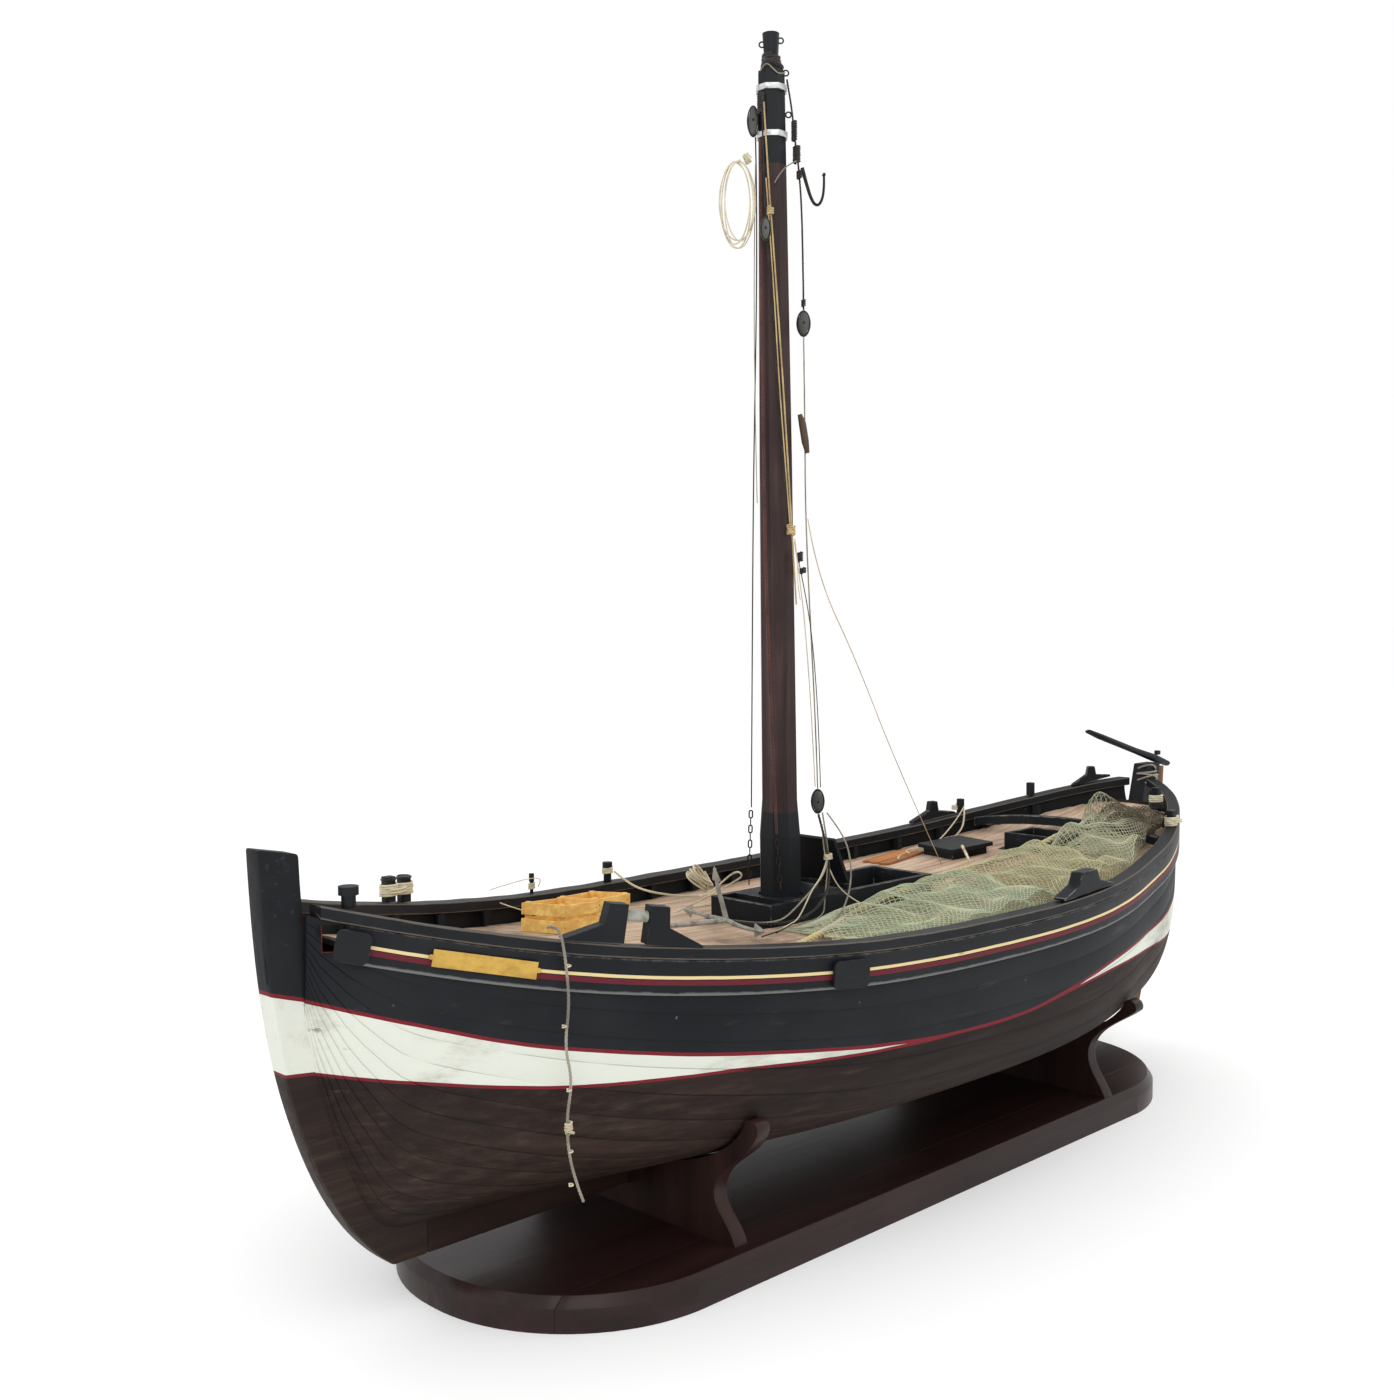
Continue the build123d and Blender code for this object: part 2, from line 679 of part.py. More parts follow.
with BuildPart() as gudgeons:
    for z in pintle_heights:
        foot = Plane(origin=(post_x(z) + 2.4, 0, z), z_dir=axis_dir)
        with BuildSketch(foot.offset(-4)):
            Circle(2.2)
            with Locations((-1.6, 0)):
                Rectangle(1.4, 11.6)
            Circle(1.45, mode=Mode.SUBTRACT)
        extrude(amount=8)
        for y in (-9.7, 9.7):
            with BuildSketch(foot.offset(-4)):
                with Locations((-8, y)):
                    Rectangle(12, 1.2)
            extrude(amount=8)
save("gudgeons", gudgeons)

with BuildPart() as tiller:
    stops = [(632, 326.5, 5.5, 3.5), (602, 335, 6.5, 4.6), (560, 346, 4.0, 3.6), (480, 368, 6.5, 3.2),
             (456, 375, 5.0, 2.4)]
    for low, high in zip(stops, stops[1:]):
        way = Vector(high[0] - low[0], 0, high[1] - low[1])
        for x, z, half_width, half_depth in (low, high):
            with BuildSketch(Plane(origin=(x, 0, z), x_dir=(0, 1, 0), z_dir=(-1, 0, 0.25))):
                Ellipse(half_width, half_depth)
        loft()
save("tiller", tiller)

with BuildPart() as tiller_peg:
    with BuildSketch(Plane.XY.offset(338.2)):
        with Locations((611, 0)):
            Rectangle(6, 5)
    extrude(amount=5)
save("tiller_peg", tiller_peg)

# ---------------------------------------------------------------- mast and rigging ironwork
with BuildPart() as mast:
    for z, half in mast_sizes:
        with BuildSketch(Plane(origin=mast_at(z))):
            RegularPolygon(half, 8, major_radius=False, rotation=22.5)
    loft(ruled=True)
    with BuildSketch(Plane(origin=mast_at(mast_shoulder_z))):
        Circle(5.5)
    with BuildSketch(Plane(origin=mast_at(mast_top_z))):
        Circle(7.5)
    loft()
save("mast", mast)

with BuildPart() as mast_bands:
    for z in (930, 970):
        with BuildSketch(Plane(origin=mast_at(z - 2.5))):
            RegularPolygon(13.4, 8, major_radius=False, rotation=22.5)
        extrude(amount=5)
    add(mast.part, mode=Mode.SUBTRACT)
save("mast_bands", mast_bands)

upper_block_z, lower_block_z = 768.0, 340.0
with BuildPart() as tackle_blocks:
    for z, across, ahead in ((upper_block_z, 26, 0), (lower_block_z, 36, -20)):
        with BuildSketch(Plane(origin=mast_at(z, across, ahead)).offset(-11)):
            Ellipse(5.0, 4.0)
        with BuildSketch(Plane(origin=mast_at(z, across, ahead))):
            Ellipse(6.5, 5.0)
        with BuildSketch(Plane(origin=mast_at(z, across, ahead)).offset(11)):
            Ellipse(4.0, 3.0)
        loft()
save("tackle_blocks", tackle_blocks)

hook_points = [mast_at(899, 27, 0), mast_at(876, 34, 0), mast_at(871, 38, 0), mast_at(875, 43, 0),
               mast_at(898, 46, 0)]
iron_hook = rod(hook_points, 1.5)
save("iron_hook", iron_hook)


def chain(points, pitch):
    # a hanging chain as separate links, alternately turned
    with BuildPart() as links:
        start, end = Vector(*points[0]), Vector(*points[1])
        count = int((end - start).length // pitch)
        for i in range(count):
            place = Plane(origin=start + (end - start) * ((i + 0.5) / count), x_dir=(end - start),
                          z_dir=(0.7, -0.7, 0) if i % 2 else (0.7, 0.7, 0))
            with BuildSketch(place):
                SlotOverall(pitch + 1.2, 4.4)
                SlotOverall(pitch - 1.2, 1.8, mode=Mode.SUBTRACT)
            extrude(amount=0.5, both=True)
    return links


with BuildPart() as mast_chains:
    add(chain([(-65, 36.6, 331), (-65, 39.5, 262)], 6.9).part)
    add(chain([mast_at(312, -4, 22.5), mast_at(264, -1, 23.5)], 6.9).part)
save("mast_chains", mast_chains)


# ---------------------------------------------------------------- nets, as plain closed solids
def heap(ends, band, crest):
    # a soft heap between two stations: band(x) gives its two edges, crest(x) its height over the deck
    def outline(x):
        near, far = band(x)
        base = max(deck_z(x, near), deck_z(x, far), deck_z(x, (near + far) / 2)) + 0.6
        span, high = far - near, crest(x)
        Polyline((near, base), (near + 0.07 * span, base + 0.45 * high),
                 (near + 0.42 * span, base + 0.78 * high), (near + 0.76 * span, base + high),
                 (far - 0.04 * span, base + 0.5 * high), (far, base), close=True)
    steps = 5
    return lofted(outline, [ends[0] + (ends[1] - ends[0]) * i / steps for i in range(steps + 1)])


net_fore = heap((-118, 118), lambda x: (-166, -46), lambda x: 5 + 33 * (x + 118) / 236)
save("net_fore", net_fore)
net_mid = heap((122, 286), lambda x: (-164 + 0.13 * (x - 122), -44),
               lambda x: 29 + 6 * math.sin((x - 122) / 52))
save("net_mid", net_mid)
with BuildPart() as net_aft:
    # in two lumps, forward and aft of the arched beam
    add(heap((290, 396), lambda x: (-141 + 0.27 * (x - 290), -40),
             lambda x: 26 + 12 * math.sin((x - 290) / 70)).part)
    add(heap((412, 478), lambda x: (-104 + 0.4 * (x - 412), -18), lambda x: 36 - 0.12 * (x - 412)).part)
save("net_aft", net_aft)

# ---------------------------------------------------------------- ropes
cord("hanging_twine", [(-407, -88, 291), (-410, -100, 294), (-413, -111, 289.5), (-412, -114.5, 268),
                       (-410, -115, 240), (-414, -114, 212), (-408, -115, 186), (-413, -114, 160),
                       (-412, -115, 134), (-404, -114, 110), (-399, -115, 97)], 2.2)
cord("shroud_line", [mast_at(930, -14.5, 0), (-69, 22, 850), (-66, 31, 640), (-64.5, 34.5, 500),
                     (-65, 36, 334)], 1.2)
cord("wire_rope", [mast_at(925, -11, 10.5), mast_at(760, -11.5, 12.5), mast_at(560, -11, 14.5),
                   mast_at(440, -8, 17.5), mast_at(316, -4, 22)], 2.6)
cord("halyard", [mast_at(955, -7.5, 15), mast_at(900, -5, 15.5), mast_at(820, 0, 17),
                 mast_at(720, 6, 17.6), mast_at(640, 10, 18), mast_at(580, 13, 18),
                 mast_at(520, 16, 16)], 1.6)
cord("pendant", [mast_at(976, 13, 9), mast_at(955, 17, 6), mast_at(925, 20, 3), mast_at(895, 24, 1),
                 mast_at(850, 26, 0.3), mast_at(780, 26.2, 0)], 1.8)
cord("tackle_fall", [mast_at(756, 26, 0), mast_at(680, 26.3, 0.5), mast_at(600, 26, 0),
                     mast_at(500, 30, -6), mast_at(420, 34, -14), mast_at(352, 36, -19)], 1.4)
cord("thin_stay", [mast_at(596, 28, 2), mast_at(545, 36, -2), (24, -14, 470), (76, -20, 370),
                   (148, -22, 262)], 0.8)
cord("black_hawser", [(-26.5, -12, 328), (-33, -24, 312), (-40, -35, 294), (-46, -42, 276),
                      (-56, -47, 262), (-78, -51, 250), (-106, -48, 244), (-130, -32, 244.5),
                      (-142, -8, 246), (-137, 14, 246.5)], 2.4)
cord("headrope", [(-168, -110, 243), (-128, -98, 243.6), (-88, -84, 244.6), (-48, -69, 246.5),
                  (-8, -60, 250), (34, -57, 253), (76, -51.3, 256.7), (118, -47, 259), (160, -45.5, 259.7),
                  (202, -44.5, 261.2), (244, -43.5, 262.8), (284, -44.5, 267.5), (318, -47.5, 276)], 6.0)
cord("coil_line", [(-119, 166, 266), (-112, 152, 254), (-96, 140, 246), (-70, 124, 240.5),
                   (-46, 110, 241), (-30, 92, 242), (-36, 70, 243), (-62, 58, 243.5), (-96, 62, 243.6),
                   (-124, 68, 244)], 2.2)
cord("post_line", [(378, 116, 283), (368, 108, 270), (350, 104, 258), (330, 108, 250), (304, 112, 247),
                   (276, 118, 244.5), (250, 112, 244), (232, 98, 245)], 2.2)

with BuildPart() as rope_coil:
    with BuildSketch(Plane(origin=(-36, 133, 252.5), z_dir=(0.45, -0.55, 0.7))):
        Circle(17)
    extrude(amount=7, both=True)
    fillet(rope_coil.edges(), 4)
save("rope_coil", rope_coil)

with BuildPart() as loop_coil:
    middle = mast_at(868, -31, 12)
    with BuildSketch(Plane(origin=middle, x_dir=(0.712, -0.702, 0), z_dir=(-0.702, -0.712, 0))):
        Ellipse(16, 40)
    extrude(amount=2.5, both=True)
save("loop_coil", loop_coil)
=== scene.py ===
import json
import math
import bmesh
import bpy
from mathutils import Matrix, Vector, noise


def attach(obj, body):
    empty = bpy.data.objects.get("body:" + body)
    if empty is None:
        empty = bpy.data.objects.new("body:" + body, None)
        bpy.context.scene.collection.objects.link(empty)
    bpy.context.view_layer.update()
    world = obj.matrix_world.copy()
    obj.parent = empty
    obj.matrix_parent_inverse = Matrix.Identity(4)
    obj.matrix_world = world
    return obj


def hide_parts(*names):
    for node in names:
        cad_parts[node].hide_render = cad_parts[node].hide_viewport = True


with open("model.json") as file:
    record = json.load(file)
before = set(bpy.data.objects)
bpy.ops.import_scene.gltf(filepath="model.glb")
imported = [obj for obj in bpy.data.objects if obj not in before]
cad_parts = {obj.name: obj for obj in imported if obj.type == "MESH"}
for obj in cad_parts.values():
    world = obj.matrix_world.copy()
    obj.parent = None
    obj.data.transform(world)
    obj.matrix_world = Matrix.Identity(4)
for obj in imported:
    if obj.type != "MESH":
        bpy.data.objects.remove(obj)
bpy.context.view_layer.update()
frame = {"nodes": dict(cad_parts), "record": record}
up = Vector((0, 0, 1))

# ---- lines of the boat, in metres: x runs aft, y to starboard, z up
boatSet = {"low": 0.2527, "rise": 0.068, "lowAt": 0.015, "half": 0.577, "lift": 2.5, "keelTop": 0.071,
           "stem": 0.009, "deckDown": 0.024, "camber": 0.010, "beam": 0.186, "skin": 0.004}
railBreadth = [(-0.556, 0.014), (-0.540, 0.027), (-0.500, 0.053), (-0.440, 0.089), (-0.380, 0.115),
               (-0.310, 0.137), (-0.230, 0.158), (-0.150, 0.176), (-0.070, 0.185), (0.010, 0.190),
               (0.090, 0.192), (0.170, 0.188), (0.240, 0.177), (0.310, 0.160), (0.370, 0.144), (0.430, 0.121),
               (0.480, 0.096), (0.520, 0.070), (0.550, 0.042), (0.566, 0.022)]
rabbet = [(-0.556, 0.240), (-0.549, 0.202), (-0.540, 0.170), (-0.532, 0.144), (-0.520, 0.116),
          (-0.503, 0.084), (-0.480, 0.072), (-0.440, 0.071), (0.480, 0.071), (0.500, 0.074), (0.510, 0.088),
          (0.520, 0.112), (0.530, 0.146), (0.550, 0.215), (0.566, 0.270)]
bandTop = [(-0.590, 0.262), (-0.559, 0.252), (-0.511, 0.236), (-0.431, 0.212), (-0.367, 0.199),
           (-0.290, 0.186), (-0.201, 0.175), (-0.129, 0.168), (-0.040, 0.163), (0.043, 0.164), (0.120, 0.173),
           (0.186, 0.182), (0.243, 0.187), (0.318, 0.192), (0.400, 0.199), (0.480, 0.212), (0.570, 0.232)]
bandFoot = [(-0.590, 0.204), (-0.571, 0.202), (-0.497, 0.190), (-0.431, 0.181), (-0.393, 0.177),
            (-0.313, 0.173), (-0.267, 0.171), (-0.201, 0.167), (-0.129, 0.1645), (-0.040, 0.163),
            (0.043, 0.164), (0.120, 0.171), (0.186, 0.175), (0.243, 0.175), (0.318, 0.173), (0.400, 0.169),
            (0.480, 0.168), (0.570, 0.176)]


def reading(table, x):
    last = len(table) - 2
    i = 0
    while i < last and x > table[i + 1][0]:
        i += 1
    slopes = []
    for k in (i, i + 1):
        low, high = table[max(k - 1, 0)], table[min(k + 1, last + 1)]
        slopes.append((high[1] - low[1]) / (high[0] - low[0]))
    (x0, v0), (x1, v1) = table[i], table[i + 1]
    t = min(max((x - x0) / (x1 - x0), 0.0), 1.0)
    span = x1 - x0
    return (v0 * (1 + 2 * t) * (1 - t) ** 2 + v1 * t * t * (3 - 2 * t)
            + span * slopes[0] * t * (1 - t) ** 2 - span * slopes[1] * t * t * (1 - t))


def sheer(x):
    return boatSet["low"] + boatSet["rise"] * abs((x - boatSet["lowAt"]) / boatSet["half"]) ** boatSet["lift"]


def keelLine(x):
    # level amidships, rising along the stem and the stern post
    straight = -0.440 <= x <= 0.480
    return boatSet["keelTop"] if straight else max(boatSet["keelTop"], reading(rabbet, x))


def halfBreadth(x, z, inset=0.0):
    bottom = keelLine(x) + inset
    side = reading(railBreadth, x) - inset
    fullness = 1 - abs((x - 0.020) / 0.590) ** 3
    s = min(max((z - bottom) / (sheer(x) - bottom), 0.0), 1.0)
    rise = (1 - (1 - s) ** (1.7 + 4.8 * fullness)) ** (1 - 0.37 * fullness)
    return boatSet["stem"] + max(side - boatSet["stem"], 0.001) * rise


def deckEdge(x):
    return halfBreadth(x, sheer(x) - boatSet["deckDown"], boatSet["skin"]) - 0.001


def deckZ(x, y=0.0):
    edge = deckEdge(x)
    return sheer(x) - boatSet["deckDown"] + boatSet["camber"] * edge / boatSet["beam"] * (1 - (y / edge) ** 2)


def deckPlace(x, y, turn, lift):
    # a matrix whose z stands square to the deck and whose x is turned from the boat's own
    step = 0.005
    slopeX = (deckZ(x + step, y) - deckZ(x - step, y)) / (2 * step)
    slopeY = (deckZ(x, y + step) - deckZ(x, y - step)) / (2 * step)
    normal = Vector((-slopeX, -slopeY, 1)).normalized()
    ahead = Vector((math.cos(math.radians(turn)), math.sin(math.radians(turn)), 0))
    along = (ahead - up * (ahead.dot(normal) / normal.z)).normalized()
    across = normal.cross(along)
    place = Matrix((along, across, normal)).transposed().to_4x4()
    place.translation = (x, y, deckZ(x, y) + lift)
    return place


mastSet = {"x": -0.065, "rake": 0.0133, "foot": 0.266, "turn": (0.712, 0.702)}
mastSide = Vector((mastSet["turn"][0], -mastSet["turn"][1], 0))
mastAhead = Vector((-mastSet["turn"][1], -mastSet["turn"][0], 0))


def mastAt(z, across=0.0, ahead=0.0):
    # a place beside the mast's middle line, across or ahead of it
    x = mastSet["x"] - mastSet["rake"] * (z - mastSet["foot"])
    c, s = mastSet["turn"]
    return Vector((x + c * across - s * ahead, -s * across - c * ahead, z))


# ---- camera
cameraSet = {"place": (-1.096, -0.940, 0.515), "turn": -44.57, "down": 3.3, "roll": -0.31, "lens": 39.86}


def makeCamera():
    data = bpy.data.cameras.new("camera")
    data.lens, data.sensor_width = cameraSet["lens"], 36
    camera = bpy.data.objects.new("camera", data)
    bpy.context.scene.collection.objects.link(camera)
    a, e, r = (math.radians(cameraSet[k]) for k in ("turn", "down", "roll"))
    back = Vector((math.sin(a) * math.cos(e), -math.cos(a) * math.cos(e), math.sin(e)))
    right = Vector((math.cos(a), math.sin(a), 0))
    above = back.cross(right)
    rolled = right * math.cos(r) + above * math.sin(r)
    above = above * math.cos(r) - right * math.sin(r)
    turned = Matrix((rolled, above, back)).transposed().to_4x4()
    camera.matrix_world = Matrix.Translation(cameraSet["place"]) @ turned
    bpy.context.scene.camera = camera


makeCamera()


# ---- shader maths
class Signal:
    def __init__(self, finish, out):
        self.finish, self.out = finish, out

    def maths(self, operation, first, second=0.0):
        return self.finish.node("ShaderNodeMath", {"operation": operation}, {0: first, 1: second})

    def __add__(self, other):
        return self.maths("ADD", self, other)

    def __radd__(self, other):
        return self.maths("ADD", other, self)

    def __sub__(self, other):
        return self.maths("SUBTRACT", self, other)

    def __rsub__(self, other):
        return self.maths("SUBTRACT", other, self)

    def __mul__(self, other):
        return self.maths("MULTIPLY", self, other)

    def __rmul__(self, other):
        return self.maths("MULTIPLY", other, self)

    def __gt__(self, other):
        return self.maths("GREATER_THAN", self, other)

    def __lt__(self, other):
        return self.maths("LESS_THAN", self, other)

    def __abs__(self):
        return self.maths("ABSOLUTE", self)


class Finish:
    # one material: a principled surface and whatever nodes feed it
    def __init__(self, name, **constants):
        self.material = bpy.data.materials.new(name)
        self.material.use_nodes = True
        self.tree = self.material.node_tree
        self.surface = self.tree.nodes["Principled BSDF"]
        self.surface.inputs["Specular IOR Level"].default_value = 0.16
        for key, value in constants.items():
            self.surface.inputs[key.replace("_", " ")].default_value = value
        self.place = self.node("ShaderNodeTexCoord", {}, {}, "Object")

    def node(self, kind, settings, sockets, output=0):
        made = self.tree.nodes.new(kind)
        for key, value in settings.items():
            if key == "stops":
                while len(made.color_ramp.elements) < len(value):
                    made.color_ramp.elements.new(1.0)
                for element, (at, colour) in zip(made.color_ramp.elements, value):
                    element.position = at
                    element.color = (*colour, 1)
            else:
                setattr(made, key, value)
        for key, value in sockets.items():
            if isinstance(value, Signal):
                self.tree.links.new(value.out, made.inputs[key])
            else:
                made.inputs[key].default_value = value
        return Signal(self, made.outputs[output])

    def value(self, name):
        return self.node("ShaderNodeAttribute", {"attribute_name": name}, {}, "Fac")

    def stretch(self, x, y, z):
        return self.node("ShaderNodeVectorMath", {"operation": "MULTIPLY"}, {0: self.place, 1: (x, y, z)})

    def mottle(self, scale, detail=4.0, rough=0.55, vector=None, distortion=0.0):
        return self.node("ShaderNodeTexNoise", {},
                         {"Vector": vector or self.place, "Scale": scale, "Detail": detail,
                          "Roughness": rough,
                          "Distortion": distortion})

    def ramp(self, signal, *stops):
        return self.node("ShaderNodeValToRGB", {"stops": stops}, {"Fac": signal})

    def fade(self, signal, low, high):
        return self.node("ShaderNodeMapRange", {"interpolation_type": "SMOOTHSTEP"},
                         {"Value": signal, "From Min": low, "From Max": high})

    def blend(self, first, second, mask):
        tinted = [(*c, 1) if isinstance(c, tuple) else c for c in (first, second)]
        return self.node("ShaderNodeMix", {"data_type": "RGBA"}, {0: mask, 6: tinted[0], 7: tinted[1]}, 2)

    def axis(self, name):
        return self.node("ShaderNodeSeparateXYZ", {}, {"Vector": self.place}, name)

    def bump(self, height, strength, distance):
        return self.node("ShaderNodeBump", {}, {"Height": height, "Strength": strength, "Distance": distance})

    def wire(self, **signals):
        for key, signal in signals.items():
            self.tree.links.new(signal.out, self.surface.inputs[key.replace("_", " ")])
        return self.material


paint = {"black": (0.0050, 0.0062, 0.0085), "dusty": (0.0125, 0.014, 0.0165), "worn": (0.062, 0.065, 0.066),
         "bare": (0.15, 0.125, 0.10), "white": (0.68, 0.70, 0.62), "grime": (0.34, 0.34, 0.28),
         "red": (0.17, 0.012, 0.020), "redStripe": (0.12, 0.012, 0.020), "yellow": (0.72, 0.58, 0.30)}


def painted(f, patches):
    # black paint, dusty in places
    return f.blend(paint["black"], paint["dusty"], f.fade(patches, 0.35, 0.7))


def scuffs(f, scale=26.0):
    # long faint rubs that run along the boat
    streaks = f.mottle(scale, 6, 0.65, f.stretch(0.22, 1, 1.6))
    return f.fade(streaks, 0.60, 0.74)


def blackWood(name="blackPaint", gloss=0.46, wear=1.0):
    f = Finish(name, Coat_Weight=0.06, Coat_Roughness=0.35)
    patches = f.mottle(9, 5)
    fine = f.mottle(170, 5, 0.7, f.stretch(0.35, 1, 1))
    edge = f.value("edge")
    paleEdges = f.fade(edge * 0.55 + f.mottle(60, 6, 0.7) * 0.75, 0.62, 0.80) * edge
    colour = f.blend(painted(f, patches), paint["worn"], scuffs(f) * (0.45 * wear))
    colour = f.blend(colour, paint["worn"], f.fade(fine, 0.62, 0.75) * (0.35 * wear))
    colour = f.blend(colour, paint["bare"], paleEdges * 0.8)
    return f.wire(Base_Color=colour, Roughness=gloss + patches * 0.22 + paleEdges * 0.2,
                  Normal=f.bump(fine * 0.7 + patches, 0.35, 0.0012))


def rimPaint():
    # the corners of painted timber, rubbed back to grey in places
    f = Finish("rimPaint")
    patchMask = f.fade(f.mottle(55, 6, 0.7), 0.46, 0.60)
    colour = f.blend(paint["dusty"], (0.17, 0.17, 0.16), patchMask)
    return f.wire(Base_Color=colour, Roughness=0.55 + patchMask * 0.1)


def brownPlanks(f, plank):
    # old varnished planks: colour changes from plank to plank, with streaks and light patches that are a
    # painted highlight
    along = f.stretch(0.10, 1.0, 1.7)
    shade = f.node("ShaderNodeTexWhiteNoise", {"noise_dimensions": "1D"}, {"W": plank})
    grain = f.mottle(90, 7, 0.66, along)
    colour = f.ramp(grain, (0.25, (0.006, 0.0035, 0.0030)), (0.46, (0.018, 0.0092, 0.0068)),
                    (0.60, (0.034, 0.0205, 0.0155)), (0.76, (0.075, 0.045, 0.033)))
    colour = f.blend(colour, (0.052, 0.030, 0.023), shade * 0.40)
    colour = f.blend(colour, (0.009, 0.0062, 0.0060), f.fade(f.mottle(7, 3, 0.5, along), 0.42, 0.66) * 0.7)
    # painted highlight: light patches on the varnished planks
    patchMask = f.fade(f.mottle(24, 6, 0.7, along), 0.62, 0.72)
    colour = f.blend(colour, (0.105, 0.078, 0.065), patchMask * 0.45)
    return colour, grain


def hullPaint():
    f = Finish("hullPaint", Coat_Weight=0.04, Coat_Roughness=0.4)
    wobble = (f.mottle(14, 3) - 0.5) * 0.0016
    top = f.value("aboveBand") + wobble
    foot = f.value("aboveFoot") + wobble
    seam, plank = f.value("seam"), f.value("plank")
    brown, grain = brownPlanks(f, plank)
    patches = f.mottle(8, 5)
    fine = f.mottle(150, 5, 0.7, f.stretch(0.3, 1, 1))
    dark = f.blend(painted(f, patches), paint["worn"], scuffs(f, 34) * 0.35)
    specks = f.fade(f.mottle(75, 3, 0.5), 0.73, 0.78)
    dark = f.blend(dark, (0.20, 0.18, 0.16), specks * 0.6)
    dirt = f.fade(f.mottle(16, 7, 0.7, f.stretch(0.35, 1, 1.5)), 0.48, 0.72)
    chalk = f.blend(paint["white"], paint["grime"], dirt * 0.75)
    chalk = f.blend(chalk, (0.16, 0.12, 0.09),
                    f.fade(f.mottle(42, 6, 0.72, f.stretch(0.25, 1, 2)), 0.66, 0.74) * 0.7)
    crack = f.fade(seam, 0.55, 0.95) * f.fade(f.mottle(11, 3, 0.6, f.stretch(0.5, 1, 1)), 0.42, 0.52)
    colour = f.blend(brown, chalk, foot > 0.0)
    colour = f.blend(colour, dark, top > 0.0)
    colour = f.blend(colour, paint["red"], (abs(foot) < 0.0012) + (abs(top) < 0.0014))
    lines = f.fade(seam, 0.35, 0.9) * (foot < 0.0) * 0.55
    colour = f.blend(colour, (0.004, 0.003, 0.0025), (crack * 0.45 + lines) * 0.9)
    roughness = 0.62 - (foot > 0.0) * 0.08 - (top > 0.0) * 0.04 + patches * 0.18
    return f.wire(Base_Color=colour, Roughness=roughness,
                  Normal=f.bump(grain * 0.6 + fine * 0.5 + patches * 0.4, 0.4, 0.0012))


stripes = {"yellow": (0.0212, 0.0236), "red": (0.0242, 0.0280)}  # depths below the sheer


def walePaint():
    f = Finish("walePaint", Coat_Weight=0.06, Coat_Roughness=0.35)
    drop = f.value("drop") + (f.mottle(30, 3) - 0.5) * 0.0007
    edge = f.value("edge")
    patches = f.mottle(10, 5)
    fine = f.mottle(160, 5, 0.7, f.stretch(0.3, 1, 1))
    colour = f.blend(painted(f, patches), paint["worn"], scuffs(f, 30) * 0.4)
    # pale edges: worn chips along the top edge, and a painted highlight along the foot ledge
    paleEdges = f.fade(edge * 0.6 + f.mottle(70, 6, 0.7) * 0.7, 0.60, 0.85) * edge
    colour = f.blend(colour, (0.19, 0.19, 0.18), paleEdges * 0.85)
    yellow, red = ((drop > stripes[k][0]) * (drop < stripes[k][1]) for k in ("yellow", "red"))
    patchMask = 1 - f.fade(f.mottle(55, 5, 0.7, f.stretch(0.3, 1, 1)), 0.62, 0.72) * 0.7
    colour = f.blend(colour, paint["redStripe"], red * patchMask)
    colour = f.blend(colour, paint["yellow"], yellow * patchMask)
    return f.wire(Base_Color=colour, Roughness=0.44 + patches * 0.2,
                  Normal=f.bump(fine + patches, 0.3, 0.001))


def stemPaint():
    # the posts carry the same bands as the planking beside them
    f = Finish("postPaint", Coat_Weight=0.05, Coat_Roughness=0.4)
    x, z = f.axis("X"), f.axis("Z")
    wobble = (f.mottle(14, 3) - 0.5) * 0.0016
    slope = f.fade(x, -0.6, 0.6)
    top = z - (0.262 - (x + 0.590) * 0.30) * (1 - slope) - 0.232 * slope + wobble
    foot = z - (0.204 - (x + 0.590) * 0.12) * (1 - slope) - 0.176 * slope + wobble
    brown, grain = brownPlanks(f, f.mottle(3) * 4)
    patches = f.mottle(9, 5)
    fine = f.mottle(150, 5, 0.7)
    dark = f.blend(painted(f, patches), paint["worn"], f.fade(fine, 0.60, 0.74) * 0.4)
    chalk = f.blend(paint["white"], paint["grime"], f.fade(f.mottle(18, 7, 0.7), 0.45, 0.7) * 0.8)
    colour = f.blend(brown, chalk, foot > 0.0)
    colour = f.blend(colour, dark, top > 0.0)
    colour = f.blend(colour, paint["red"], (abs(foot) < 0.0012) + (abs(top) < 0.0014))
    return f.wire(Base_Color=colour, Roughness=0.5 + patches * 0.2, Normal=f.bump(fine + grain, 0.35, 0.0012))


def brownWood(name, tint, lines, gloss, axis="x", coat=0.0, dark=0.35, relief=0.0008):
    # plain-sawn timber: streaks along one axis, a darker figure and fine pores
    f = Finish(name, Coat_Weight=coat, Coat_Roughness=0.22)
    way = {"x": (0.08, 1, 1), "y": (1, 0.08, 1), "z": (1, 1, 0.08)}[axis]
    figure = f.mottle(lines, 6, 0.6, f.stretch(*way), 0.4)
    pores = f.mottle(lines * 7, 4, 0.7, f.stretch(*way))
    cloud = f.mottle(6, 4)
    low, high = tuple(c * dark for c in tint), tuple(min(1.0, c * 1.7) for c in tint)
    colour = f.ramp(figure, (0.28, low), (0.5, tint), (0.74, high))
    colour = f.blend(colour, tuple(c * 0.55 for c in tint), f.fade(cloud, 0.4, 0.7) * 0.6)
    colour = f.blend(colour, low, f.fade(pores, 0.58, 0.7) * 0.5)
    return f.wire(Base_Color=colour, Roughness=gloss + cloud * 0.22,
                  Normal=f.bump(figure + pores * 0.5, 0.3, relief))


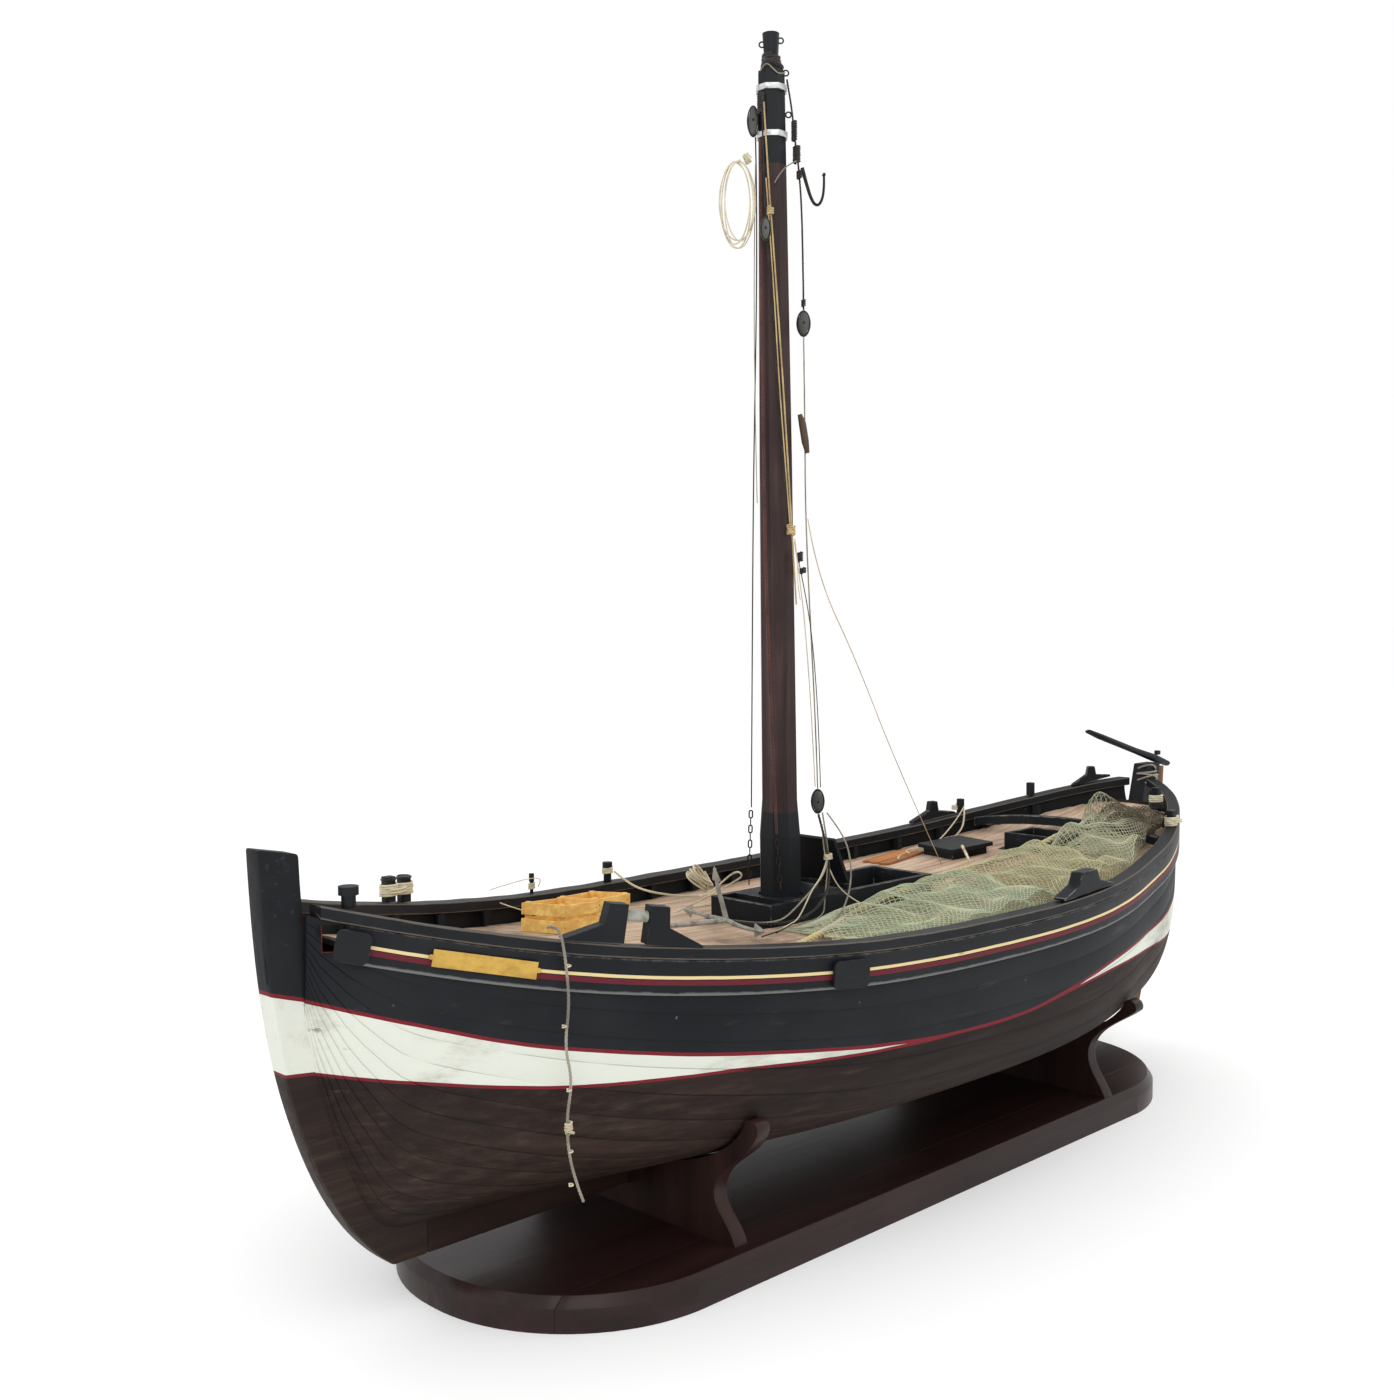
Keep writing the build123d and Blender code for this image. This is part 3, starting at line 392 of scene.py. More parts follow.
def mastWood():
    f = Finish("mastWood", Coat_Weight=0.12, Coat_Roughness=0.3)
    z = f.axis("Z")
    figure = f.mottle(70, 6, 0.62, f.stretch(1, 1, 0.05), 0.3)
    cloud = f.mottle(9, 4)
    colour = f.ramp(figure, (0.28, (0.015, 0.0085, 0.0080)), (0.5, (0.038, 0.0215, 0.0195)),
                    (0.72, (0.085, 0.050, 0.046)))
    colour = f.blend(colour, (0.020, 0.010, 0.010), f.fade(cloud, 0.42, 0.65) * 0.6)
    ends = ((z + cloud * 0.006) > 0.907) + ((z + cloud * 0.02) < 0.345)
    colour = f.blend(colour, f.blend(paint["black"], paint["dusty"], f.fade(cloud, 0.4, 0.7)), ends)
    return f.wire(Base_Color=colour, Roughness=0.42 + cloud * 0.25,
                  Normal=f.bump(figure + cloud, 0.35, 0.001))


def deckWood():
    f = Finish("deckWood")
    shade = f.node("ShaderNodeTexWhiteNoise", {"noise_dimensions": "1D"}, {"W": f.value("plank")})
    figure = f.mottle(110, 7, 0.65, f.stretch(0.07, 1, 1), 0.3)
    dirt = f.mottle(11, 6, 0.65)
    colour = f.ramp(figure, (0.3, (0.27, 0.175, 0.115)), (0.5, (0.56, 0.405, 0.290)),
                    (0.75, (0.76, 0.63, 0.50)))
    colour = f.blend(colour, (0.42, 0.27, 0.175), shade * 0.5)
    colour = f.blend(colour, (0.085, 0.060, 0.045), f.fade(dirt, 0.50, 0.72) * 0.7)
    return f.wire(Base_Color=colour, Roughness=0.62 + dirt * 0.2, Normal=f.bump(figure, 0.3, 0.0005))


def metal(name, tint, rust, metallic, gloss, lumps=0.4):
    f = Finish(name)
    cloud = f.mottle(60, 6, 0.65)
    fine = f.mottle(420, 4, 0.6)
    spots = f.fade(f.mottle(120, 5, 0.7), 0.52, 0.66)
    colour = f.blend(tint, tuple(c * 0.5 for c in tint), f.fade(cloud, 0.4, 0.7))
    colour = f.blend(colour, rust, spots * 0.7)
    return f.wire(Base_Color=colour, Roughness=gloss + cloud * 0.25 + spots * 0.2, Metallic=metallic
                  - spots * (metallic * 0.7), Normal=f.bump(cloud + fine * 0.5, lumps, 0.0006))


def plateBrass():
    f = Finish("plateBrass")
    rubs = f.mottle(130, 6, 0.7, f.stretch(0.15, 1, 1))
    cloud = f.mottle(45, 4)
    x = f.axis("X")
    ends = f.fade(abs(x + 0.4588), 0.024, 0.036)
    colour = f.blend((0.60, 0.385, 0.095), (0.47, 0.28, 0.06), f.fade(rubs, 0.4, 0.65))
    colour = f.blend(colour, (0.40, 0.24, 0.06), f.fade(cloud + ends * 0.14, 0.55, 0.72) * 0.75)
    return f.wire(Base_Color=colour, Roughness=0.38 + cloud * 0.25,
                  Metallic=0.65 - f.fade(cloud, 0.58, 0.72) * 0.3, Normal=f.bump(rubs, 0.15, 0.0003))


def twine(name, tint, second, hair=500):
    # spun fibre: two tints, fine hairs and grime
    f = Finish(name, Sheen_Weight=0.25, Sheen_Roughness=0.5)
    mix = f.mottle(38, 5, 0.6)
    hairs = f.mottle(hair, 4, 0.7)
    colour = f.blend(tint, second, f.fade(mix, 0.38, 0.66))
    colour = f.blend(colour, tuple(c * 0.35 for c in tint), f.fade(hairs, 0.55, 0.7) * 0.55)
    return f.wire(Base_Color=colour, Roughness=0.75 + mix * 0.15, Normal=f.bump(hairs, 0.5, 0.0003))


def agedNet():
    # pale green forward, dark brown towards the stern
    f = Finish("netBrown")
    mix = f.mottle(38, 5, 0.6)
    pale = f.blend((0.42, 0.45, 0.31), (0.58, 0.57, 0.40), f.fade(mix, 0.38, 0.66))
    brown = f.blend((0.085, 0.070, 0.048), (0.20, 0.175, 0.12), f.fade(mix, 0.40, 0.62))
    place = f.axis("X") - f.axis("Y") * 0.55 + f.mottle(22) * 0.05
    return f.wire(Base_Color=f.blend(pale, brown, f.fade(place, 0.425, 0.475)), Roughness=0.8 + mix * 0.1)


finishes = {
    "blackPaint": blackWood(), "hatchPaint": blackWood("hatchPaint", 0.5, 1.6), "rimPaint": rimPaint(),
    "hullPaint": hullPaint(), "walePaint": walePaint(), "postPaint": stemPaint(), "mastWood": mastWood(),
    "deckWood": deckWood(),
    "standWood": brownWood("standWood", (0.024, 0.0100, 0.0090), 34, 0.30, "x", 0.18),
    "cradleWood": brownWood("cradleWood", (0.024, 0.0098, 0.0080), 42, 0.36, "z", 0.15),
    "keelWood": brownWood("keelWood", (0.024, 0.0125, 0.0095), 60, 0.55),
    "rudderWood": brownWood("rudderWood", (0.17, 0.085, 0.040), 60, 0.55, "z", 0.0, 0.3),
    "innerWood": brownWood("innerWood", (0.11, 0.062, 0.036), 55, 0.65),
    "crateWood": brownWood("crateWood", (0.80, 0.47, 0.135), 150, 0.5, "x", 0.0, 0.8, 0.0001),
    "bareWood": brownWood("bareWood", (0.36, 0.145, 0.048), 60, 0.55, "x", 0.0, 0.5),
    "pitch": brownWood("pitch", (0.030, 0.022, 0.018), 60, 0.7),
    "poleWood": brownWood("poleWood", (0.62, 0.52, 0.34), 60, 0.55, "x", 0.0, 0.5),
    "toggleWood": brownWood("toggleWood", (0.10, 0.066, 0.045), 60, 0.6, "z", 0.0, 0.5),
    "iron": metal("iron", (0.030, 0.029, 0.029), (0.10, 0.045, 0.022), 0.55, 0.5),
    "greyIron": metal("greyIron", (0.36, 0.355, 0.31), (0.16, 0.155, 0.13), 0.1, 0.5, 0.2),
    "silverBand": metal("silverBand", (0.66, 0.67, 0.66), (0.25, 0.24, 0.22), 0.8, 0.34, 0.2),
    "plateBrass": plateBrass(),
    "netGrey": twine("netGrey", (0.42, 0.48, 0.33), (0.56, 0.57, 0.39)),
    "netGold": twine("netGold", (0.46, 0.45, 0.28), (0.60, 0.56, 0.35)),
    "netBrown": agedNet(),
    "creamTwine": twine("creamTwine", (0.68, 0.61, 0.43), (0.50, 0.43, 0.29)),
    "goldTwine": twine("goldTwine", (0.58, 0.43, 0.20), (0.36, 0.26, 0.13)),
    "greyTwine": twine("greyTwine", (0.34, 0.31, 0.24), (0.19, 0.17, 0.13)),
    "yellowRope": twine("yellowRope", (0.60, 0.49, 0.22), (0.44, 0.42, 0.30), 300),
    "tarredRope": twine("tarredRope", (0.017, 0.015, 0.0145), (0.036, 0.030, 0.026)),
    "redRope": twine("redRope", (0.115, 0.032, 0.026), (0.060, 0.026, 0.024)),
    "blockWood": brownWood("blockWood", (0.085, 0.090, 0.082), 70, 0.55, "z", 0.0, 0.4)}
print("finishes made:", len(finishes))


# ---- shapes
class Shape:
    def __init__(self):
        self.points, self.faces, self.values = [], [], {}

    def loft(self, rings, closed=False, caps=True, **values):
        start, size, count = len(self.points), len(rings[0]), len(rings)
        for i, ring in enumerate(rings):
            self.points += [Vector(p) for p in ring]
            for key, numbers in values.items():
                row = numbers[i] if isinstance(numbers, list) else [numbers] * size
                self.values.setdefault(key, []).extend(row)
        for i in range(count if closed else count - 1):
            a, b = start + i * size, start + (i + 1) % count * size
            for k in range(size):
                n = (k + 1) % size
                self.faces.append((a + k, a + n, b + n, b + k))
        if caps and not closed:
            self.faces.append(tuple(start + k for k in reversed(range(size))))
            self.faces.append(tuple(start + (count - 1) * size + k for k in range(size)))
        return self

    def block(self, place, low, high):
        # a board between two corners, in the axes of a matrix
        outline = ((low[0], low[1]), (high[0], low[1]), (high[0], high[1]), (low[0], high[1]))
        return self.loft([[place @ Vector((x, y, z)) for x, y in outline] for z in (low[2], high[2])])

    def piece(self, name, finish, body="hull", smooth=35, bevel=0.0, replaced=(), slot=None):
        mesh = bpy.data.meshes.new(name)
        mesh.from_pydata([tuple(p) for p in self.points], [], self.faces)
        for key, numbers in self.values.items():
            mesh.attributes.new(key, "FLOAT", "POINT").data.foreach_set("value", numbers)
        work = bmesh.new()
        work.from_mesh(mesh)
        bmesh.ops.recalc_face_normals(work, faces=work.faces)
        work.to_mesh(mesh)
        work.free()
        for face in mesh.polygons:
            face.use_smooth = smooth > 0
        if smooth:
            mesh.set_sharp_from_angle(angle=math.radians(smooth))
        made = bpy.data.objects.new(name, mesh)
        bpy.context.scene.collection.objects.link(made)
        mesh.materials.append(finishes[finish])
        if bevel:
            rounded = made.modifiers.new("roundedEdges", "BEVEL")
            rounded.width, rounded.segments, rounded.angle_limit = bevel, 2, math.radians(40)
        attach(made, body)
        if replaced:
            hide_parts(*replaced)
        return made


def circle(middle, one, other, count):
    # places round a circle or an oval; the two directions carry its size
    angles = [2 * math.pi * k / count for k in range(count)]
    return [middle + one * math.cos(t) + other * math.sin(t) for t in angles]


def roundLoop(middle, one, other, face, thick, count, sides):
    # the rings of a closed wire loop
    rings = []
    for spot in circle(middle, one, other, count):
        out = (spot - middle).normalized()
        rings.append(circle(spot, out * thick, face * thick, sides))
    return rings


def tubeRings(points, radius, sides=8):
    rings, last, side = [], len(points) - 1, None
    for i, point in enumerate(points):
        way = (points[min(i + 1, last)] - points[max(i - 1, 0)]).normalized()
        side = (side - way * side.dot(way)).normalized() if side else way.orthogonal().normalized()
        other = way.cross(side)
        r = radius(i / last) if callable(radius) else radius
        rings.append(circle(point, side * r, other * r, sides))
    return rings


def routeCurve(name, points, bevel=0.0, fine=12):
    curve = bpy.data.curves.new(name, "CURVE")
    curve.dimensions = "3D"
    curve.resolution_u = fine
    spline = curve.splines.new("NURBS")
    spline.points.add(len(points) - 1)
    for knot, point in zip(spline.points, points):
        knot.co = (*point, 1)
    spline.order_u = 3
    spline.use_endpoint_u = True
    curve.bevel_depth, curve.bevel_resolution, curve.use_fill_caps = bevel, 3, True
    made = bpy.data.objects.new(name, curve)
    bpy.context.scene.collection.objects.link(made)
    return made


def routeLine(points, step):
    # evenly spaced places read along the route's own NURBS spline
    made = routeCurve("route", points, fine=24)
    mesh = bpy.data.meshes.new_from_object(made)
    line = [v.co.copy() for v in mesh.vertices]
    bpy.data.meshes.remove(mesh)
    bpy.data.curves.remove(made.data)
    along = [0.0]
    for a, b in zip(line, line[1:]):
        along.append(along[-1] + (b - a).length)
    count = max(3, int(along[-1] / step))
    places, k = [], 0
    for i in range(count + 1):
        at = along[-1] * i / count
        while k < len(line) - 2 and along[k + 1] < at:
            k += 1
        t = (at - along[k]) / max(along[k + 1] - along[k], 1e-9)
        places.append(line[k].lerp(line[k + 1], min(t, 1.0)))
    return places, along[-1]


def strandedRope(shape, line, diameter, strands=3, sides=6, pitch=4.2):
    # strands laid round the line, each touching its neighbours
    share = math.sin(math.pi / strands) / (1 + math.sin(math.pi / strands))
    thick, offset = diameter / 2 * share * 1.06, diameter / 2 * (1 - share)
    ways, side, far = [], None, 0.0
    for i, point in enumerate(line):
        way = (line[min(i + 1, len(line) - 1)] - line[max(i - 1, 0)]).normalized()
        side = (side - way * side.dot(way)).normalized() if side else way.orthogonal().normalized()
        far += (point - line[i - 1]).length if i else 0.0
        ways.append((point, side, way.cross(side), far / (pitch * diameter) * 2 * math.pi))
    for s in range(strands):
        start = 2 * math.pi * s / strands
        middle = [p + (a * math.cos(t + start) + b * math.sin(t + start)) * offset for p, a, b, t in ways]
        shape.loft(tubeRings(middle, thick, sides))
    return shape


def cordPiece(name, route, diameter, finish, body="hull",
              replaced=(), strands=3, slot=None, pitch=4.2):
    # a free rope along its route: laid strands, or one smooth thread when it is very thin
    if strands:
        line = routeLine(route, max(diameter * 0.42, 0.0008))[0]
        made = strandedRope(Shape(), line, diameter, strands, 6 if diameter > 0.002 else 5, pitch)
        made = made.piece(name, finish, body, 60, replaced=replaced, slot=slot)
    else:
        made = routeCurve(name, route, diameter / 2)
        made.data.materials.append(finishes[finish])
        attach(made, body)
        if replaced:
            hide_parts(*replaced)


# ---- ropes: routes, thicknesses and real lengths in metres
ropes = {
    "hangingTwine": {"thick": 0.0022, "long": 0.219, "finish": "greyTwine", "end": "bare",
                     "cad": "hanging_twine",
                     "route": [(-0.407, -0.088, 0.291), (-0.410, -0.100, 0.294), (-0.413, -0.111, 0.2895),
                               (-0.412, -0.1145, 0.268), (-0.410, -0.115, 0.240), (-0.414, -0.114, 0.212),
                               (-0.408, -0.115, 0.186), (-0.413, -0.114, 0.160), (-0.412, -0.115, 0.134),
                               (-0.404, -0.114, 0.110), (-0.399, -0.115, 0.097)]},
    "shroudLine": {"thick": 0.0012, "long": 0.598, "finish": "tarredRope", "end": "object",
                   "cad": "shroud_line",
                   "lay": "taut", "strands": 0,
                   "route": [mastAt(0.930, -0.0145, 0), (-0.069, 0.022, 0.850), (-0.066, 0.031, 0.640),
                             (-0.0645, 0.0345, 0.500), (-0.065, 0.036, 0.334)]},
    "wireRope": {"thick": 0.0026, "long": 0.609, "finish": "redRope", "end": "object", "cad": "wire_rope",
                 "lay": "taut", "stiff": "medium", "strands": 4, "pitch": 5.5,
                 "route": [mastAt(0.925, -0.011, 0.0105), mastAt(0.760, -0.0115, 0.0125),
                           mastAt(0.560, -0.011, 0.0145), mastAt(0.440, -0.008, 0.0175),
                           mastAt(0.316, -0.004, 0.022)]},
    "halyard": {"thick": 0.0016, "long": 0.436, "finish": "goldTwine", "end": "knot", "cad": "halyard",
                "route": [mastAt(0.955, -0.0075, 0.015), mastAt(0.900, -0.005, 0.0155),
                          mastAt(0.820, 0, 0.017), mastAt(0.720, 0.006, 0.0176), mastAt(0.640, 0.010, 0.018),
                          mastAt(0.580, 0.013, 0.018), mastAt(0.520, 0.016, 0.016)]},
    "pendant": {"thick": 0.0018, "long": 0.197, "finish": "tarredRope", "end": "object", "cad": "pendant",
                "route": [mastAt(0.976, 0.013, 0.009), mastAt(0.955, 0.017, 0.006),
                          mastAt(0.925, 0.020, 0.003), mastAt(0.895, 0.024, 0.001),
                          mastAt(0.850, 0.026, 0.0003), mastAt(0.780, 0.0262, 0)]},
    "tackleFall": {"thick": 0.0014, "long": 0.405, "finish": "greyTwine", "end": "object",
                   "cad": "tackle_fall",
                   "route": [mastAt(0.756, 0.026, 0), mastAt(0.680, 0.0263, 0.0005), mastAt(0.600, 0.026, 0),
                             mastAt(0.500, 0.030, -0.006), mastAt(0.420, 0.034, -0.014),
                             mastAt(0.352, 0.036, -0.019)]},
    "thinStay": {"thick": 0.0008, "long": 0.393, "finish": "goldTwine", "end": "object", "cad": "thin_stay",
                 "strands": 0, "lay": "taut",
                 "route": [mastAt(0.596, 0.028, 0.002), mastAt(0.545, 0.036, -0.002), (0.024, -0.014, 0.470),
                           (0.076, -0.020, 0.370), (0.148, -0.022, 0.262)]},
    "blackHawser": {"thick": 0.0024, "long": 0.211, "finish": "tarredRope", "end": "bare",
                    "cad": "black_hawser",
                    "route": [(-0.0265, -0.012, 0.328), (-0.033, -0.024, 0.312), (-0.040, -0.035, 0.294),
                              (-0.046, -0.042, 0.276), (-0.056, -0.047, 0.262), (-0.078, -0.051, 0.250),
                              (-0.106, -0.048, 0.244), (-0.130, -0.032, 0.2445), (-0.142, -0.008, 0.246),
                              (-0.137, 0.014, 0.2465)]},
    "headrope": {"thick": 0.0060, "long": 0.496, "finish": "yellowRope", "end": "bare", "cad": "headrope",
                 "stiff": "medium", "lay": "loose", "pitch": 3.6,
                 "route": [(-0.168, -0.110, 0.243), (-0.128, -0.098, 0.2436), (-0.088, -0.084, 0.2446),
                           (-0.048, -0.069, 0.2465), (-0.008, -0.060, 0.250), (0.034, -0.057, 0.253),
                           (0.076, -0.0513, 0.2567), (0.118, -0.047, 0.259), (0.160, -0.0455, 0.2597),
                           (0.202, -0.0445, 0.2612), (0.244, -0.0435, 0.2628), (0.284, -0.0445, 0.2675),
                           (0.318, -0.0475, 0.276)]},
    "coilLine": {"thick": 0.0022, "long": 0.234, "finish": "creamTwine", "end": "bare", "cad": "coil_line",
                 "lay": "loose",
                 "route": [(-0.119, 0.166, 0.266), (-0.112, 0.152, 0.254), (-0.096, 0.140, 0.246),
                           (-0.070, 0.124, 0.2405), (-0.046, 0.110, 0.241), (-0.030, 0.092, 0.242),
                           (-0.036, 0.070, 0.243), (-0.062, 0.058, 0.2435), (-0.096, 0.062, 0.2436),
                           (-0.124, 0.068, 0.244)]},
    "postLine": {"thick": 0.0022, "long": 0.166, "finish": "creamTwine", "end": "bare", "cad": "post_line",
                 "lay": "loose",
                 "route": [(0.378, 0.116, 0.283), (0.368, 0.108, 0.270), (0.350, 0.104, 0.258),
                           (0.330, 0.108, 0.250), (0.304, 0.112, 0.247), (0.276, 0.118, 0.2445),
                           (0.250, 0.112, 0.244), (0.232, 0.098, 0.245)]}}

cadSlots = {row["node"]: row["material_slot"] for row in frame["record"]["subparts"]}
for name, rope in ropes.items():
    cordPiece(name, rope["route"], rope["thick"], rope["finish"],
              replaced=(rope["cad"],),
              strands=rope.get("strands", 3), slot=cadSlots[rope["cad"]], pitch=rope.get("pitch", 4.2))

coils = {"deckCoil": {"middle": (-0.036, 0.133, 0.2525), "normal": (0.45, -0.55, 0.7), "turns": 7,
                      "thick": 0.0022, "ring": 0.0134, "deep": 0.0105},
         "mastCoil": {"middle": (0.868, -0.031, 0.012), "turns": 5, "thick": 0.0011, "high": 0.0385,
                      "wide": 0.0145}}
stepsPerTurn = 14


def deckCoil():
    # a small round ball of turns, each a little tilted from the last
    spec = coils["deckCoil"]
    normal = Vector(spec["normal"]).normalized()
    side = normal.orthogonal().normalized()
    other = normal.cross(side)
    route = []
    for i in range(spec["turns"] * stepsPerTurn + 1):
        turn = i / stepsPerTurn
        t = 2 * math.pi * turn
        ring = spec["ring"] + 0.0020 * math.sin(turn * 2.4) - 0.0008 * (int(turn) % 2)
        height = (turn / spec["turns"] - 0.5) * spec["deep"] + 0.0012 * math.sin(t * 2 + turn)
        route.append(Vector(spec["middle"]) + side * math.cos(t) * ring + other * math.sin(t) * ring * 0.92
                     + normal * height)
    long = routeLine(route, 0.001)[1]
    cordPiece("deckCoil", route, spec["thick"], "creamTwine",
              replaced=("rope_coil",), slot="rope_cream")


def mastCoil():
    # loose loops that hang beside the mast head and fan out at the foot
    spec = coils["mastCoil"]
    middle = mastAt(*spec["middle"])
    route = []
    for i in range(spec["turns"] * stepsPerTurn + 1):
        turn = i / stepsPerTurn
        t = 2 * math.pi * turn
        wide = spec["wide"] * (1 - 0.16 * math.sin(turn * 1.9))
        high = spec["high"] * (1 - 0.10 * (0.5 + 0.5 * math.cos(turn * 2.6)))
        lift = spec["high"] - high
        route.append(middle + mastSide * (wide * math.sin(t) + 0.0010 * turn - 0.003)
                     + up * (high * math.cos(t) + lift)
                     + mastAhead * (0.0012 * turn - 0.003 + 0.001 * math.sin(t + turn)))
    long = routeLine(route, 0.001)[1]
    cordPiece("mastCoil", route, spec["thick"], "creamTwine",
              strands=0, replaced=("loop_coil",), slot="rope_cream")


deckCoil()
mastCoil()

# lighter lines beside the main ones: thickness, finish, far end and route
extraLines = {
    "halyardDark": (0.0016, "tarredRope", "object", [
        mastAt(0.958, -0.009, 0.0135), mastAt(0.880, -0.0085, 0.0142), mastAt(0.800, -0.0035, 0.016),
        mastAt(0.710, 0.0015, 0.0165), mastAt(0.640, 0.006, 0.017), mastAt(0.585, 0.010, 0.0175)]),
    "halyardSecond": (0.0012, "goldTwine", "object", [
        mastAt(0.890, -0.0065, 0.017), mastAt(0.800, -0.0010, 0.0185), mastAt(0.720, 0.0025, 0.019),
        mastAt(0.650, 0.0070, 0.0195), mastAt(0.590, 0.0110, 0.0195)]),
    "halyardTail": (0.0009, "creamTwine", "bare", [
        mastAt(0.578, 0.015, 0.018), mastAt(0.560, 0.0175, 0.018), mastAt(0.542, 0.0165, 0.0185),
        mastAt(0.524, 0.0195, 0.0175)]),
    "tackleSecond": (0.0011, "creamTwine", "object", [
        mastAt(0.575, 0.015, 0.017), mastAt(0.530, 0.0215, 0.010), mastAt(0.480, 0.026, 0.002),
        mastAt(0.420, 0.0305, -0.010), mastAt(0.354, 0.0335, -0.017)]),
    "tackleThird": (0.0009, "tarredRope", "object", [
        mastAt(0.566, 0.017, 0.014), mastAt(0.520, 0.027, 0.006), mastAt(0.470, 0.033, -0.004),
        mastAt(0.410, 0.037, -0.013), mastAt(0.353, 0.0385, -0.018)]),
    "leftHalyard": (0.0008, "greyTwine", "object", [
        mastAt(0.905, -0.0150, 0.004), mastAt(0.820, -0.0175, 0.004), mastAt(0.700, -0.0182, 0.005),
        mastAt(0.610, -0.0172, 0.006)]),
    "hawserSecond": (0.0017, "greyTwine", "bare", [
        (-0.0255, -0.016, 0.330), (-0.030, -0.024, 0.312), (-0.0385, -0.0345, 0.2935),
        (-0.052, -0.041, 0.280), (-0.0715, -0.0435, 0.268), (-0.093, -0.0445, 0.256),
        (-0.108, -0.043, 0.247), (-0.123, -0.037, 0.245), (-0.133, -0.024, 0.2455),
        (-0.140, -0.005, 0.246)]),
    "hawserCentre": (0.0013, "creamTwine", "bare", [
        (-0.040, -0.0345, 0.2925), (-0.052, -0.040, 0.280), (-0.0736, -0.045, 0.2682),
        (-0.090, -0.0495, 0.254), (-0.100, -0.051, 0.246), (-0.109, -0.0507, 0.244),
        (-0.125, -0.057, 0.2435), (-0.1414, -0.064, 0.2435)]),
    "hawserRight": (0.0013, "creamTwine", "bare", [
        (-0.030, -0.020, 0.320), (-0.033, -0.0225, 0.2967), (-0.039, -0.041, 0.2721),
        (-0.033, -0.051, 0.2589), (-0.0227, -0.060, 0.2510)]),
    "hawserDrop": (0.0012, "greyTwine", "bare", [
        (-0.040, -0.035, 0.290), (-0.050, -0.042, 0.2728), (-0.0574, -0.046, 0.2571),
        (-0.059, -0.047, 0.247), (-0.070, -0.050, 0.244), (-0.0828, -0.053, 0.2435),
        (-0.101, -0.0528, 0.2435)]),
    "coilLoop": (0.0018, "creamTwine", "bare", [
        (-0.145, 0.0565, 0.2445), (-0.1157, 0.066, 0.2455), (-0.082, 0.078, 0.2475),
        (-0.0625, 0.076, 0.2535), (-0.059, 0.062, 0.262), (-0.0618, 0.0505, 0.268),
        (-0.0630, 0.0535, 0.2720), (-0.0643, 0.0600, 0.2705), (-0.0657, 0.0714, 0.262),
        (-0.0711, 0.082, 0.2505), (-0.080, 0.090, 0.2462)]),
    "postSecond": (0.0016, "creamTwine", "bare", [
        (0.384, 0.120, 0.286), (0.362, 0.112, 0.277), (0.330, 0.106, 0.262), (0.306, 0.104, 0.252),
        (0.286, 0.110, 0.248), (0.272, 0.118, 0.2475), (0.262, 0.110, 0.248), (0.252, 0.098, 0.2485)]),
    "hawserThird": (0.0016, "greyTwine", "bare", [
        (-0.024, -0.020, 0.330), (-0.020, -0.036, 0.312), (-0.026, -0.050, 0.292), (-0.040, -0.062, 0.270),
        (-0.060, -0.070, 0.252), (-0.086, -0.078, 0.2445), (-0.112, -0.074, 0.2445),
        (-0.134, -0.064, 0.2455)]),
    "deckTail": (0.0012, "tarredRope", "bare", [
        (-0.176, -0.080, 0.2475), (-0.168, -0.092, 0.2525), (-0.156, -0.096, 0.2575),
        (-0.146, -0.088, 0.2560), (-0.144, -0.078, 0.2500), (-0.150, -0.072, 0.2455)]),
    "bowWhisker": (0.0008, "creamTwine", "bare", [
        (-0.228, 0.146, 0.268), (-0.236, 0.132, 0.276), (-0.250, 0.118, 0.282), (-0.268, 0.112, 0.284),
        (-0.286, 0.116, 0.281), (-0.298, 0.124, 0.277)]),
    "bowTail": (0.0010, "creamTwine", "bare", [
        (-0.300, 0.108, 0.268), (-0.288, 0.100, 0.262), (-0.274, 0.098, 0.258), (-0.258, 0.100, 0.2555),
        (-0.244, 0.108, 0.2525), (-0.232, 0.118, 0.2515)]),
    "crateTail": (0.0012, "creamTwine", "bare", [
        (-0.182, 0.084, 0.2475), (-0.166, 0.090, 0.2475), (-0.148, 0.084, 0.2465), (-0.132, 0.092, 0.2455),
        (-0.116, 0.088, 0.2450), (-0.100, 0.094, 0.2445)])}
for name, (thick, finish, end, route) in extraLines.items():
    long = routeLine(route, 0.001)[1]
    cordPiece(name, route, thick, finish, strands=0 if thick < 0.0011 else 3,
              slot="rope_dark" if finish == "tarredRope" else "rope_cream")
print("ropes laid")


# ---- hull
hullSet = {"planks": 13, "seamDeep": 0.0006, "stations": 150, "ends": (-0.556, 0.566), "topDown": 0.0088,
           "outerSteps": 40, "innerSteps": 14}
inside = {"aboveBand": 0.05, "aboveFoot": 0.05, "seam": 0.0}  # what the paint reads where no band reaches


